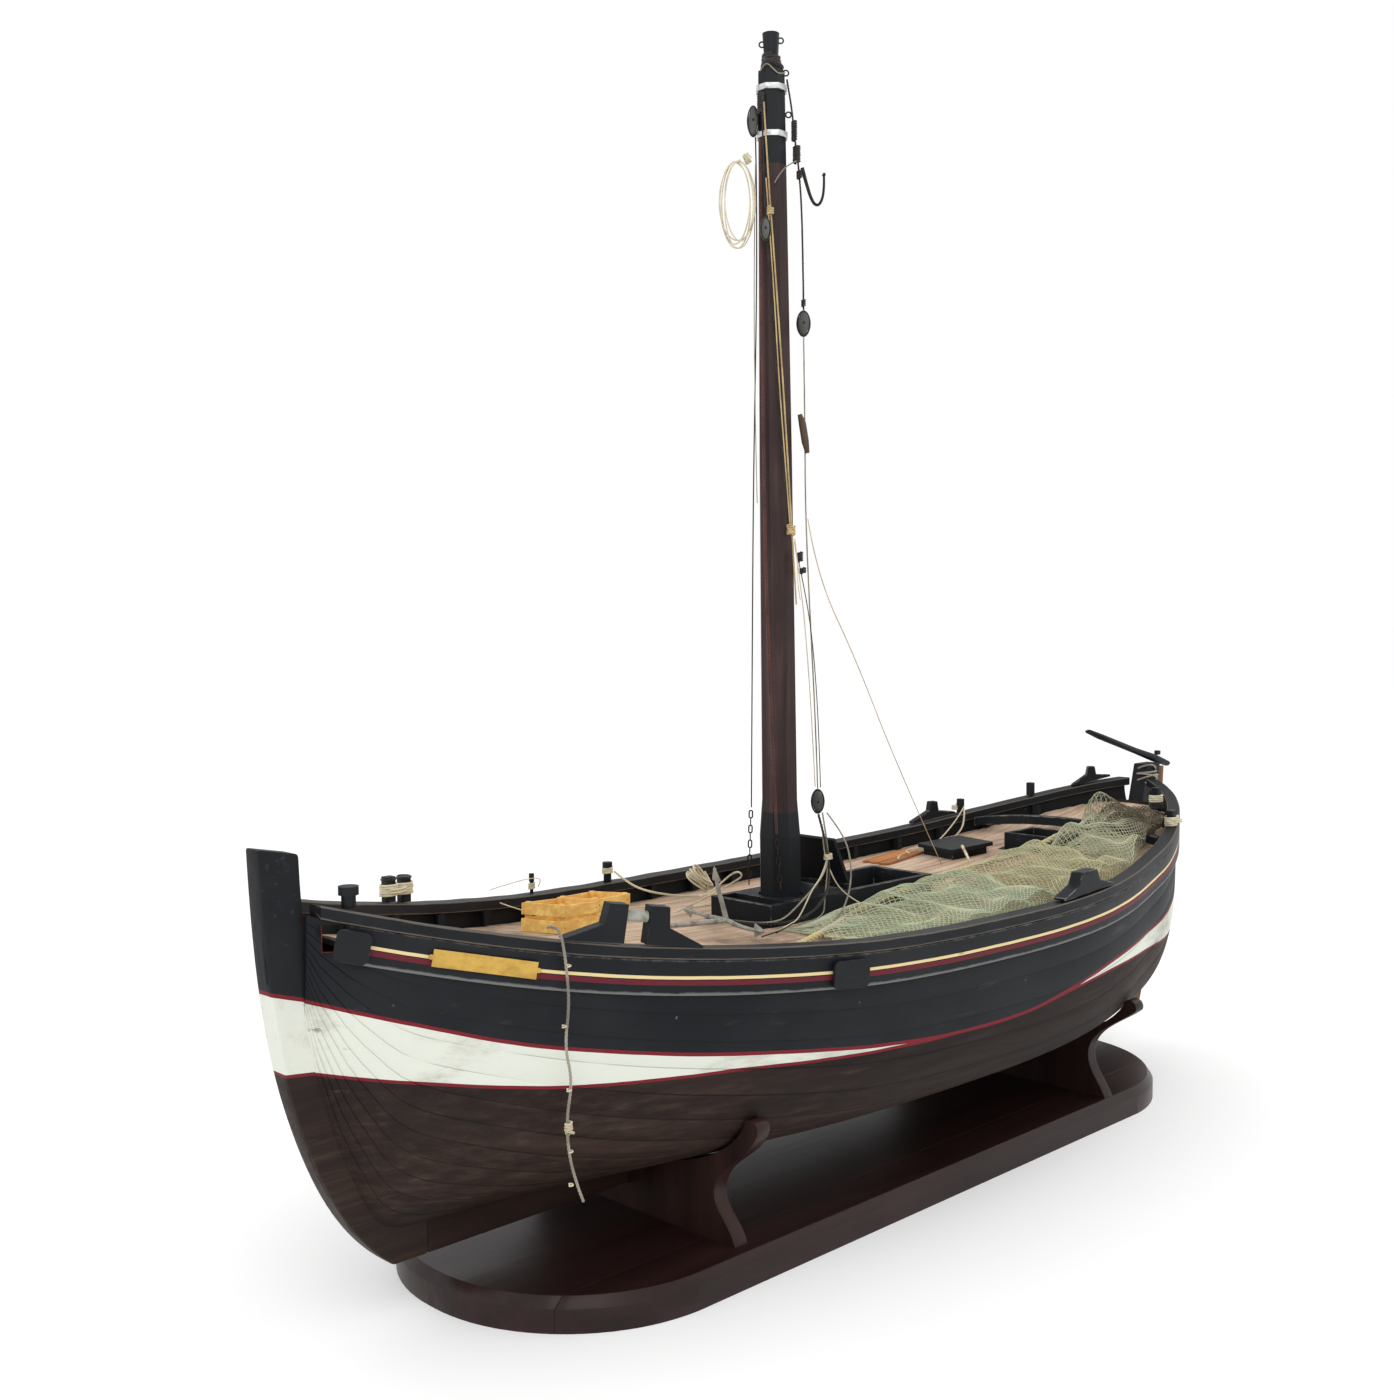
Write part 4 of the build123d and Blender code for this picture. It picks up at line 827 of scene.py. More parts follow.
def hullSkin(side, name, cadNode):
    # one side's planking as a closed shell; each point carries where it lies against the painted bands
    start, end = hullSet["ends"]
    rings, values = [], {"aboveBand": [], "aboveFoot": [], "seam": [], "plank": []}
    marks = []
    for k in range(hullSet["planks"]):
        marks += [(k, 1.0, k - 0.5), (k + 0.07, 0.0, k), (k + 0.5, 0.0, k), (k + 0.93, 0.0, k)]
    marks.append((hullSet["planks"], 0.0, hullSet["planks"]))
    for i in range(hullSet["stations"] + 1):
        x = start + (end - start) * i / hullSet["stations"]
        bottom, top = keelLine(x), sheer(x) - hullSet["topDown"]
        steps = hullSet["outerSteps"]
        heights = [bottom + (top - bottom) * (t / steps) ** 2.2 for t in range(steps + 1)]
        outline = [Vector((halfBreadth(x, z), z)) for z in heights]
        girth = [0.0]
        for a, b in zip(outline, outline[1:]):
            girth.append(girth[-1] + (b - a).length)
        ring, row = [], {key: [] for key in values}
        k = 0
        for mark, seam, plank in marks:
            far = girth[-1] * mark / hullSet["planks"]
            while k < len(girth) - 2 and girth[k + 1] < far:
                k += 1
            way = (outline[k + 1] - outline[k]).normalized()
            spot = outline[k] + way * (far - girth[k])
            if seam and 0 < mark < hullSet["planks"]:
                spot -= Vector((way.y, -way.x)) * hullSet["seamDeep"]
            ring.append(Vector((x, side * spot.x, spot.y)))
            row["aboveBand"].append(spot.y - reading(bandTop, x))
            row["aboveFoot"].append(spot.y - reading(bandFoot, x))
            row["seam"].append(seam)
            row["plank"].append(plank + 0.31)
        floor = bottom + boatSet["skin"]
        for t in range(hullSet["innerSteps"], -1, -1):
            z = floor + (top - floor) * (t / hullSet["innerSteps"]) ** 1.6
            ring.append(Vector((x, side * halfBreadth(x, z, boatSet["skin"]), z)))
            for key, number in {**inside, "plank": t}.items():
                row[key].append(number)
        rings.append(ring)
        for key in values:
            values[key].append(row[key])
    return Shape().loft(rings, **values).piece(name, "hullPaint", "hull", 40, replaced=(cadNode,),
                                               slot="hull_black")


skins = [hullSkin(-1, "planksPort", "planking_port"), hullSkin(1, "planksStarboard", "planking_starboard")]


def cutHole(target, shape):
    # cuts a hawse or scupper opening through a skin
    cutter = shape.piece("cutter", "blackPaint")
    change = target.modifiers.new("opening", "BOOLEAN")
    change.operation, change.solver, change.object = "DIFFERENCE", "EXACT", cutter
    graph = bpy.context.evaluated_depsgraph_get()
    mesh = bpy.data.meshes.new_from_object(target.evaluated_get(graph))
    target.modifiers.clear()
    target.data = mesh
    bpy.data.objects.remove(cutter)


hawseSet = {"x": -0.5425, "out": 0.026, "down": 0.022, "turn": 0.78}
for skin, side in zip(skins, (-1, 1)):
    spot = (hawseSet["x"], side * hawseSet["out"], sheer(hawseSet["x"]) - hawseSet["down"])
    place = Matrix.Translation(spot) @ Matrix.Rotation(side * hawseSet["turn"], 4, "Z")
    hole = Shape().block(place, (-0.0085, -0.014, -0.0085), (0.0075, 0.014, 0.0105))
    hole.values = {key: [number] * len(hole.points) for key, number in {**inside, "plank": 1.0}.items()}
    cutHole(skin, hole)


def railRing(x, side, low, high, inner, outer, soft):
    # a plank section with soft corners: points, and how near each is to a corner
    corners = [(inner, high), (outer, high), (outer, low), (inner, low)]
    ring, edge = [], []
    for k, (y, z) in enumerate(corners):
        before, after = corners[k - 1], corners[(k + 1) % 4]
        for other, share in ((before, 1.0), (before, 0.3), (after, 0.3), (after, 1.0)):
            way = Vector((other[0] - y, other[1] - z)).normalized() * soft * share
            ring.append(Vector((x, side * (y + way.x), z + way.y)))
            edge.append(1.0 if share < 1 else 0.25)
        for share in (0.35, 0.65):
            ring.append(Vector((x, side * (y + (after[0] - y) * share), z + (after[1] - z) * share)))
            edge.append(0.0)
    return ring, edge


railSet = {"start": -0.550, "long": 1.116, "stations": 190, "deep": 0.009, "in": 0.011, "out": 0.004,
           "soft": 0.0016,
           "uneven": 0.0005}


def railCap(side, name, cadNode):
    rings, edges, r = [], [], railSet
    for i in range(r["stations"] + 1):
        x = r["start"] + r["long"] * i / r["stations"]
        breadth, top = reading(railBreadth, x), sheer(x)
        uneven = r["uneven"] * noise.noise(Vector((x * 30, side * 3, 0)))
        ring, edge = railRing(x, side, top - r["deep"], top + uneven, breadth - r["in"], breadth + r["out"]
                              + uneven, r["soft"])
        rings.append(ring)
        edges.append(edge)
    Shape().loft(rings, edge=edges).piece(name, "blackPaint", "hull", 50, replaced=(cadNode,),
                                          slot="hull_black")


# the wale's section: how far below its top edge or above its foot, how proud of the planking, and how worn;
# the full value on the foot rows is a painted highlight along the ledge
waleSet = {"start": -0.535, "long": 1.090, "stations": 180, "foot": 0.036, "top": 0.0093,
           "fromTop": [(0.0, 0.0, 0), (0.0, 0.0042, 0.6), (0.0006, 0.0050, 0.6), (0.004, 0.0050, 0),
                       (0.011, 0.0050, 0), (0.0118, 0.0046, 0), (0.0142, 0.0046, 0), (0.0150, 0.0050, 0),
                       (0.0187, 0.0050, 0), (0.022, 0.0050, 0)],
           "fromFoot": [(0.0012, 0.0050, 1), (0.0003, 0.0042, 1), (0.0, 0.0, 1)]}


def wale(side, name, cadNode):
    rings, edges, drops, w = [], [], [], waleSet
    for i in range(w["stations"] + 1):
        x = w["start"] + w["long"] * i / w["stations"]
        low, high = sheer(x) - w["foot"], sheer(x) - w["top"]
        ring, edge, drop = [], [], []
        inLow, inHigh = halfBreadth(x, low) - 0.001, halfBreadth(x, high) - 0.001
        section = [(high - down, proud, worn) for down, proud, worn in w["fromTop"]]
        section += [(low + above, proud, worn) for above, proud, worn in w["fromFoot"]]
        for z, proud, worn in section:
            t = (z - low) / (high - low)
            ring.append(Vector((x, side * (inLow + (inHigh - inLow) * t + proud), z)))
            edge.append(worn)
            drop.append(sheer(x) - z)
        rings.append(ring)
        edges.append(edge)
        drops.append(drop)
    strake = Shape().loft(rings, edge=edges, drop=drops)
    strake.piece(name, "walePaint", "hull", 50, replaced=(cadNode,), slot="hull_black")


for side, word in ((-1, "Port"), (1, "Starboard")):
    railCap(side, "railCap" + word, "rail_cap_" + word.lower())
    wale(side, "wale" + word, "wale_" + word.lower())
print("hull and rails made")

# ---- deck planks
deckSet = {"wide": 0.0118, "gap": 0.0006, "step": 0.012, "ends": (-0.525, 0.545), "half": 0.19,
           "proud": 0.00030,
           "holes": [(-0.119, 0.114, 0.038), (0.331, 0.389, 0.031)]}


def deckPlanks():
    # planks end at the hatches; a plank's middle stands a little prouder than its edges
    shape = Shape()
    count = int(deckSet["half"] / deckSet["wide"]) + 1
    proud = deckSet["proud"]
    for k in range(-count, count):
        low, high = k * deckSet["wide"] + deckSet["gap"] / 2, (k + 1) * deckSet["wide"] - deckSet["gap"] / 2
        run = []
        x = deckSet["ends"][0]
        while x <= deckSet["ends"][1]:
            edge = deckEdge(x) - 0.0008
            near, far = max(low, -edge), min(high, edge)
            shut = any(a < x < b and abs((low + high) / 2) < half for a, b, half in deckSet["holes"])
            if far - near > 0.002 and not shut:
                section = ((near, proud - 0.00002), ((near + far) / 2, proud), (far, proud - 0.00002),
                           (far, -0.001), (near, -0.001))
                run.append([Vector((x, y, deckZ(x, y) + lift)) for y, lift in section])
            else:
                if len(run) > 1:
                    shape.loft(run, plank=float(k + 40))
                run = []
            x += deckSet["step"]
        if len(run) > 1:
            shape.loft(run, plank=float(k + 40))
    shape.piece("deckPlanks", "deckWood", "hull", 30, slot="deck_wood")


deckPlanks()

# ---- fish crates
crateSet = {"long": 0.056, "wide": 0.041, "board": 0.002, "row": 0.0102, "step": 0.0132, "post": 0.0044,
            "tall": 0.0246,
            "floor": 0.0018, "nail": 0.0006}


def crate(name, place, body, cadNode):
    # a slatted floor, two rows of side boards and four corner posts
    shape = Shape()
    c = crateSet
    a, b, t = c["long"] / 2, c["wide"] / 2, c["board"]
    slat = (c["wide"] - 0.0044) / 4
    for k in range(4):
        low = -b + 0.0022 + k * slat
        shape.block(place, (-a + 0.001, low + 0.0004, 0), (a - 0.001, low + slat - 0.0004, c["floor"]))
    for row in range(2):
        z = row * c["step"] + (0.0006 if row else 0.0)
        skew = 0.0005 * (1 - 2 * row)
        for way in (-1, 1):
            y, x = way * (b - t / 2), way * (a - t / 2)
            shape.block(place, (-a - 0.0004, y - t / 2, z), (a + 0.0004, y + t / 2, z + c["row"] + skew))
            shape.block(place, (x - t / 2, -b + t, z), (x + t / 2, b - t, z + c["row"]))
    half = c["post"] / 2
    for sx in (-1, 1):
        for sy in (-1, 1):
            x, y = sx * (a - t - half + 0.0001), sy * (b - t - half + 0.0001)
            shape.block(place, (x - half, y - half, c["floor"]), (x + half, y + half, c["tall"]))
    shape.piece(name, "crateWood", body, 30, bevel=0.00035, replaced=(cadNode,), slot="crate_wood")
    nails = Shape()
    for sy in (-1, 1):
        out = (place.to_3x3() @ Vector((0, sy, 0))).normalized()
        for sx in (-1, 1):
            for row in range(2):
                spot = place @ Vector((sx * (a - 0.004), sy * (b + 0.00008), row * c["step"] + 0.005))
                stem = [spot - out * c["nail"], spot + out * 0.0001, spot + out * 0.0002]
                nails.loft(tubeRings(stem, lambda t: c["nail"] - 0.0002 * t, 8))
    nails.piece(name + "Nails", "iron", body, 30)


crate("crateNear", deckPlace(-0.273, 0.061, 17.5, 0.0006), "crate_near", "fish_crate_near")
crate("crateFar", deckPlace(-0.214, 0.086, 17.5, 0.0006), "crate_far", "fish_crate_far")


# ---- anchor
def anchor():
    shape = Shape()
    crown = Vector((-0.160, -0.024, 0.2512))
    shank = [Vector((-0.247, -0.034, 0.260)), Vector((-0.205, -0.029, 0.2555)), crown]
    shape.loft(tubeRings(shank, lambda t: 0.0019 + 0.0007 * t, 8))
    arms = [[crown, Vector((-0.156, -0.006, 0.2500)), Vector((-0.150, 0.018, 0.2495)),
             Vector((-0.148, 0.040, 0.2508))],
            [crown, Vector((-0.163, -0.040, 0.2492)), Vector((-0.165, -0.058, 0.2485)),
             Vector((-0.166, -0.073, 0.2495))],
            [crown, Vector((-0.163, -0.023, 0.264)), Vector((-0.167, -0.021, 0.279)),
             Vector((-0.170, -0.020, 0.2965))]]
    for arm in arms:
        line = routeLine(arm, 0.003)[0]
        shape.loft(tubeRings(line, lambda t: 0.0024 - 0.0010 * t, 8))
        tip, way = line[-1], (line[-1] - line[-3]).normalized()
        level = abs(way.z) < 0.7
        wide = way.cross((crown - shank[0]).normalized()).normalized() if level else Vector((0.1, 0.99, 0))
        flat = way.cross(wide).normalized()
        base = tip - way * 0.011
        rings = []
        for far, half, thick in ((0.0, 0.0058, 0.0009), (0.002, 0.0056, 0.0012), (0.0125, 0.0006, 0.0005)):
            spot = base + way * far
            rings.append([spot + wide * half, spot + flat * thick, spot - wide * half, spot - flat * thick])
        shape.loft(rings)
    shape.piece("anchorBody", "greyIron", "anchor", 35, replaced=("grapnel_anchor",), slot="grey_iron")
    middle = shank[0] + Vector((-0.0005, 0, 0.0003))
    loop = roundLoop(middle, Vector((0, 0.0036, 0)), up * 0.0036, Vector((1, 0, 0)), 0.0007, 20, 8)
    Shape().loft(loop, closed=True).piece("anchorRing", "iron", "anchor", 60)


anchor()
print("crates and anchor made")


# ---- nets
def curveThrough(points, t):
    # a smooth walk through a few profile points
    at = t * (len(points) - 1)
    i = min(int(at), len(points) - 2)
    f = at - i
    p = [points[max(min(i + k, len(points) - 1), 0)] for k in (-1, 0, 1, 2)]
    return tuple(0.5 * (2 * p[1][c] + (p[2][c] - p[0][c]) * f
                        + (2 * p[0][c] - 5 * p[1][c] + 4 * p[2][c] - p[3][c]) * f * f
                        + (3 * p[1][c] - p[0][c] - 3 * p[2][c] + p[3][c]) * f ** 3) for c in (0, 1))


netSet = {"cell": 0.0068, "thread": 0.00090, "gather": 1.12, "beamTop": 0.2748, "beamAt": 0.404}
# across the heap and up, as shares of its width and height: over, under and over again
netFold = [(-0.05, 0.66), (0.02, 0.74), (0.12, 0.74), (0.27, 0.78), (0.42, 0.84), (0.60, 0.94), (0.77, 1.0),
           (0.91, 0.72), (0.99, 0.30), (0.95, 0.06), (0.84, 0.26), (0.66, 0.62), (0.44, 0.58), (0.22, 0.50),
           (0.05, 0.40), (0.03, 0.12), (0.20, 0.08), (0.42, 0.24), (0.62, 0.30), (0.80, 0.10)]


def foldWidth(reach, height):
    # how wide the net is when its folds are laid flat
    spots = [Vector((across * reach, high * height)) for across,
             high in (curveThrough(netFold, k / 60) for k in range(61))]
    return sum((b - a).length for a, b in zip(spots, spots[1:]))


def netSpot(x, across, high, u, v, band, crest, seed):
    # one knot: the heap's shape with lumps and folds, lifted where the net lies over the beam
    near, far = band(x)
    y = near + (far - near) * across
    base = max(deckZ(x, near), deckZ(x, far), deckZ(x, (near + far) / 2)) + 0.0009
    over = max(0.0, min(1.0, 2.4 - abs(x - netSet["beamAt"]) / 0.007))
    base += max(0.0, netSet["beamTop"] - base) * over
    lump = Vector((x * 26 + seed, y * 30, v * 3))
    fold = math.sin(x * 95 + seed + 5 * noise.noise(lump * 0.6)) * 0.0022 + noise.noise(lump) * 0.0045
    taper = 1 - 0.30 * (abs(2 * u - 1)) ** 6
    loose = min(1.0, high * 2)
    rise = high * crest(x) * taper * (0.93 + 0.22 * noise.noise(lump * 1.3)) + fold * loose
    push = 0.006 * noise.noise(Vector((x * 40, v * 9, seed))) * loose
    return Vector((x + push * 0.6, y + push + 0.5 * fold, base + max(0.0, rise)))


def net(name, ends, band, crest, finish, cadNode, seed):
    # a knotted net folded over itself in a heap between two ends and two edges
    points, faces, index = [], [], {}
    long = (ends[1] - ends[0]) * netSet["gather"]
    middle = (ends[0] + ends[1]) / 2
    near, far = band(middle)
    wide = foldWidth(far - near, crest(middle))
    rows, columns = int(long / netSet["cell"]) * 2, int(wide / netSet["cell"]) * 2
    for i in range(rows + 1):
        u = i / rows
        x = ends[0] + (ends[1] - ends[0]) * u
        for j in range(i % 2, columns + 1, 2):
            v = j / columns
            across, high = curveThrough(netFold, v)
            index[i, j] = len(points)
            points.append(netSpot(x, across, high, u, v, band, crest, seed))
    for i in range(1, rows):
        for j in range(1 + i % 2, columns, 2):
            faces.append(tuple(index[key] for key in ((i - 1, j), (i, j + 1), (i + 1, j), (i, j - 1))))
    shape = Shape()
    shape.points, shape.faces = points, faces
    made = shape.piece(name, finish, "hull", 0, replaced=(cadNode,), slot="net")
    threads = made.modifiers.new("threads", "WIREFRAME")
    threads.thickness, threads.use_even_offset, threads.use_boundary = netSet["thread"], False, True
    graph = bpy.context.evaluated_depsgraph_get()
    mesh = bpy.data.meshes.new_from_object(made.evaluated_get(graph))
    bpy.data.meshes.remove(mesh)


net("netFore", (-0.118, 0.120), lambda x: (-0.166, -0.046), lambda x: 0.005 + 0.033 * (x + 0.118) / 0.236,
    "netGrey", "net_fore", 1.7)
net("netMid", (0.119, 0.289), lambda x: (-0.164 + 0.13 * (x - 0.122), -0.044),
    lambda x: 0.028 + 0.007 * math.sin((x - 0.122) / 0.052), "netGold", "net_mid", 5.2)
net("netAft", (0.288, 0.478), lambda x: (-0.141 + 0.30 * (x - 0.290), -0.040 + 0.12 * max(0.0, x - 0.30)),
    lambda x: 0.028 + 0.012 * math.sin((x - 0.270) / 0.060), "netBrown", "net_aft", 9.4)
print("nets made")


# ---- rigging ironwork
def turnsRound(shape, middle, radius, thick, turns, pitch, axis=up, squash=1.0, jitter=0.0, sides=6):
    # twine wound tight round a post
    side = axis.orthogonal().normalized()
    other = axis.cross(side)
    line, each = [], 16
    for i in range(int(turns * each) + 1):
        t = 2 * math.pi * i / each
        r = radius * (1 + jitter * math.sin(i * 1.7))
        line.append(Vector(middle) + side * math.cos(t) * r + other * math.sin(t) * r * squash
                    + axis * (pitch * (i / each - turns / 2) + jitter * 0.002 * math.sin(i * 0.9)))
    return shape.loft(tubeRings(line, thick, sides))


def hook():
    route = [mastAt(0.903, 0.0262, 0), mastAt(0.890, 0.0295, 0), mastAt(0.874, 0.0345, 0),
             mastAt(0.8695, 0.0395, 0), mastAt(0.876, 0.0440, 0), mastAt(0.889, 0.0455, 0),
             mastAt(0.897, 0.0452, 0)]
    line = routeLine(route, 0.0015)[0]
    shape = Shape().loft(tubeRings(line, lambda t: 0.0017 - 0.0007 * t, 10))
    shape.loft(tubeRings([line[-1] - Vector((0, 0, 0.001)), line[-1],
                          line[-1] + Vector((0.0006, -0.0006, 0.0012))],
                         lambda t: 0.0017 - 0.0005 * t, 10))
    shape.piece("mastHook", "iron", "hull", 60, replaced=("iron_hook",), slot="iron")


def tackleBlock(name, z, across, ahead, wide, high, replaced=()):
    # two oval cheeks with a sheave between them and a rope strop round the outside
    middle = mastAt(z, across, ahead)
    side, face = mastSide, mastAhead
    shape = Shape()
    for way in (-1, 1):
        rings = []
        for out, scale in ((0.0012, 0.93), (0.0016, 1.0), (0.0030, 0.98), (0.0043, 0.80), (0.0048, 0.45)):
            rings.append(circle(middle + face * out * way, side * wide * scale, up * high * scale, 24))
        shape.loft(rings)
    for way in (-1, 1):
        end = middle + up * way * high * 0.82
        shape.loft(tubeRings([end - face * 0.0016, end + face * 0.0016], 0.0018, 8))
    shape.piece(name + "Cheeks", "blockWood", "hull", 45, replaced=replaced, slot="iron")
    wheel = [middle + face * far for far in (-0.0011, -0.0006, 0.0006, 0.0011)]
    sheave = Shape().loft(tubeRings(wheel, lambda t: wide * (0.80 if 0.2 < t < 0.8 else 0.86), 20))
    sheave.loft(tubeRings([middle - face * 0.0053, middle + face * 0.0053], 0.0011, 10))
    sheave.piece(name + "Sheave", "iron", "hull", 40)
    strop = roundLoop(middle, side * (wide + 0.0008), up * (high + 0.0009), face, 0.0009, 28, 6)
    Shape().loft(strop, closed=True).piece(name + "Strop", "tarredRope", "hull", 60)


hook()
tackleBlock("upperBlock", 0.768, 0.026, 0, 0.0048, 0.0100, ("tackle_blocks",))
tackleBlock("lowerBlock", 0.340, 0.036, -0.020, 0.0048, 0.0098)
tackleBlock("leftBlock", 0.846, -0.0075, 0.0185, 0.0034, 0.0085)
tackleBlock("headBlock", 0.942, -0.0165, 0.004, 0.0040, 0.0120)


def knots():
    cream, gold, dark = Shape(), Shape(), Shape()
    turnsRound(gold, mastAt(0.586, 0.0120, 0.0180), 0.0040, 0.0008, 4.5, 0.0018, jitter=0.08, squash=0.8)
    turnsRound(gold, mastAt(0.583, 0.0125, 0.0178), 0.0046, 0.0008, 2, 0.0014,
               axis=Vector((0.55, -0.45, 0.7)).normalized(), squash=0.6)
    turnsRound(gold, mastAt(0.862, -0.0030, 0.0165), 0.0034, 0.0009, 3.5, 0.0019, squash=0.7)
    turnsRound(dark, mastAt(0.562, 0.0200, 0.0120), 0.0024, 0.0008, 5, 0.0017, squash=0.9)
    turnsRound(dark, mastAt(0.550, 0.0225, 0.0095), 0.0028, 0.0008, 3, 0.0017, squash=0.9)
    turnsRound(dark, mastAt(0.934, 0.0193, 0.0037), 0.0019, 0.0009, 9, 0.0019, jitter=0.04)
    turnsRound(dark, mastAt(0.914, 0.0213, 0.0022), 0.0027, 0.0009, 8, 0.0018, jitter=0.06)
    turnsRound(dark, mastAt(0.897, 0.0236, 0.0012), 0.0020, 0.0008, 4, 0.0017)
    turnsRound(dark, mastAt(0.955, -0.0105, 0.0135), 0.0021, 0.0009, 9, 0.0019, jitter=0.05)
    turnsRound(dark, mastAt(0.786, 0.0262, 0), 0.0016, 0.0007, 4, 0.0015)
    turnsRound(cream, mastAt(0.908, -0.0225, 0.0115), 0.0040, 0.0006, 4, 0.0013,
               axis=Vector((0.6, -0.6, 0.5)).normalized(), jitter=0.1)
    turnsRound(cream, (-0.412, -0.115, 0.1545), 0.0021, 0.0010, 3, 0.0019, jitter=0.12)
    turnsRound(cream, (-0.4105, -0.1148, 0.1500), 0.0026, 0.0009, 1.6, 0.0016,
               axis=Vector((0.5, 0.3, 0.8)).normalized())
    turnsRound(cream, (-0.0392, -0.0345, 0.2930), 0.0032, 0.0009, 3, 0.0017, jitter=0.08)
    for z in (0.268, 0.226, 0.180, 0.136, 0.112):
        x = -0.412 + 0.003 * math.sin(z * 190)
        turnsRound(cream, (x, -0.1148, z), 0.0014, 0.0006, 1.4, 0.0014)
    gold.piece("goldKnots", "goldTwine", "hull", 60, slot="rope_cream")
    dark.piece("tarredSeizings", "tarredRope", "hull", 60, slot="rope_dark")
    cream.piece("creamKnots", "creamTwine", "hull", 60, slot="rope_cream")
    line = [mastAt(0.688, 0.0215, 0.0045), mastAt(0.680, 0.0238, 0.0042), mastAt(0.664, 0.0262, 0.0040),
            mastAt(0.654, 0.0280, 0.0040)]
    toggle = Shape().loft(tubeRings(line, lambda t: 0.0020 + 0.0016 * math.sin(math.pi * t), 10))
    toggle.piece("woodToggle", "toggleWood", "hull", 60, slot="mast_wood")


def mastHead():
    # rope turns under the ball, small iron eyes and loose ends of thread
    dark = Shape()
    for z, r, turns in ((0.9885, 0.0084, 3), (0.9960, 0.0074, 2.5)):
        turnsRound(dark, mastAt(z), r, 0.0013, turns, 0.0026, jitter=0.03)
    turnsRound(dark, mastAt(0.9915, 0.0015, 0.001), 0.0092, 0.0010, 2, 0.0012,
               axis=Vector((0.25, -0.3, 0.92)).normalized())
    dark.piece("headTurns", "tarredRope", "hull", 60, slot="rope_dark")
    eyes = Shape()
    for place in ((1.012, 0.0085, 0.0), (1.008, -0.0080, 0.002), (0.983, 0.0125, 0.004),
                  (0.948, 0.0145, 0.002)):
        eyes.loft(roundLoop(mastAt(*place), mastSide * 0.0024, up * 0.0024, mastAhead, 0.0007, 14, 6),
                  closed=True)
    eyes.piece("headEyes", "iron", "hull", 60, slot="iron")
    thread = Shape()
    line = routeLine([mastAt(0.983, -0.0100, 0.0100), mastAt(0.991, -0.0060, 0.0115),
                      mastAt(0.984, 0.0010, 0.0130), mastAt(0.979, 0.0060, 0.0130),
                      mastAt(0.981, 0.0115, 0.0110)], 0.0015)[0]
    thread.loft(tubeRings(line, 0.0006, 6))
    line = routeLine([mastAt(0.909, 0.0230, 0.0030), mastAt(0.903, 0.0140, 0.0125),
                      mastAt(0.895, 0.0060, 0.0150), mastAt(0.886, 0.0010, 0.0165)], 0.0015)[0]
    thread.loft(tubeRings(line, 0.0006, 6))
    thread.piece("headThreads", "greyTwine", "hull", 60, slot="rope_cream")


knots()
mastHead()


# ---- lashings and small deck details
def lashings():
    cream, dark = Shape(), Shape()
    for x, z in ((-0.419, 0.2965), (-0.399, 0.2945)):
        y = reading(railBreadth, x) - 0.004
        turnsRound(cream, (x, y, z), 0.0066, 0.0010, 5, 0.0019, jitter=0.05)
        turnsRound(dark, (x, y, z + 0.0085), 0.0054, 0.0011, 1.2, 0.001)
    middle = reading(railBreadth, -0.409) - 0.004
    turnsRound(cream, (-0.409, middle, 0.2950), 0.0165, 0.0009, 2.4, 0.0024, squash=0.42,
               axis=Vector((0.08, 0.06, 1)).normalized())
    for x, y, z, r in ((-0.119, 0.176, 0.266, 0.0046), (0.393, 0.138, 0.283, 0.0049),
                       (-0.230, 0.153, 0.268, 0.0024)):
        turnsRound(cream, (x, y, z), r, 0.0010, 3, 0.0019, jitter=0.05)
    for x in (0.427, 0.442):
        y = -(reading(railBreadth, x) - 0.004)
        turnsRound(cream, (x, y, 0.2865), 0.0060, 0.0010, 5, 0.0019, jitter=0.06)
    turnsRound(cream, (0.4345, -0.118, 0.2860), 0.0140, 0.0009, 2, 0.0024, squash=0.5,
               axis=Vector((0.1, 0.1, 1)).normalized())
    turnsRound(cream, (0.500, -0.060, 0.3000), 0.0070, 0.0010, 4, 0.0020, jitter=0.05)
    turnsRound(dark, (0.500, -0.060, 0.2915), 0.0068, 0.0012, 3, 0.0024, jitter=0.05)
    cream.piece("creamLashings", "creamTwine", "hull", 60, slot="rope_cream")
    dark.piece("darkLashings", "tarredRope", "hull", 60, slot="rope_dark")


def sternTangle():
    # loose turns of cord round the head of the stern post
    shape = Shape()
    for k in range(5):
        axis = Vector((0.35 * math.sin(k * 2.1), 0.35 * math.cos(k * 1.7), 1)).normalized()
        turnsRound(shape, (0.583, 0.0, 0.3115 + 0.0026 * k), 0.0245 - 0.0012 * k, 0.0010, 1.0, 0.0012,
                   squash=0.56, axis=axis, jitter=0.04)
    shape.piece("sternTurns", "greyTwine", "hull", 60, slot="rope_cream")


def pole():
    line = routeLine([(0.266, 0.038, 0.2610), (0.220, 0.000, 0.2622), (0.169, -0.041, 0.2640)], 0.006)[0]
    rod = Shape().loft(tubeRings(line, lambda t: 0.0016 - 0.0004 * t, 10))
    rod.piece("thinPole", "poleWood", "hull", 60, slot="deck_wood")


def bareBoards():
    # unpainted boards lying on deck by the small hatch
    shape = Shape()
    for k in range(3):
        place = deckPlace(0.246 + 0.004 * k, 0.104 + 0.0135 * k, 6 - 2 * k, 0.0008)
        shape.block(place, (-0.036, -0.0062, 0), (0.038, 0.0062, 0.0022))
    shape.piece("deckBoards", "bareWood", "hull", 30, bevel=0.0003, slot="crate_wood")


lashings()
sternTangle()
pole()
bareBoards()
print("lashings and deck details made")

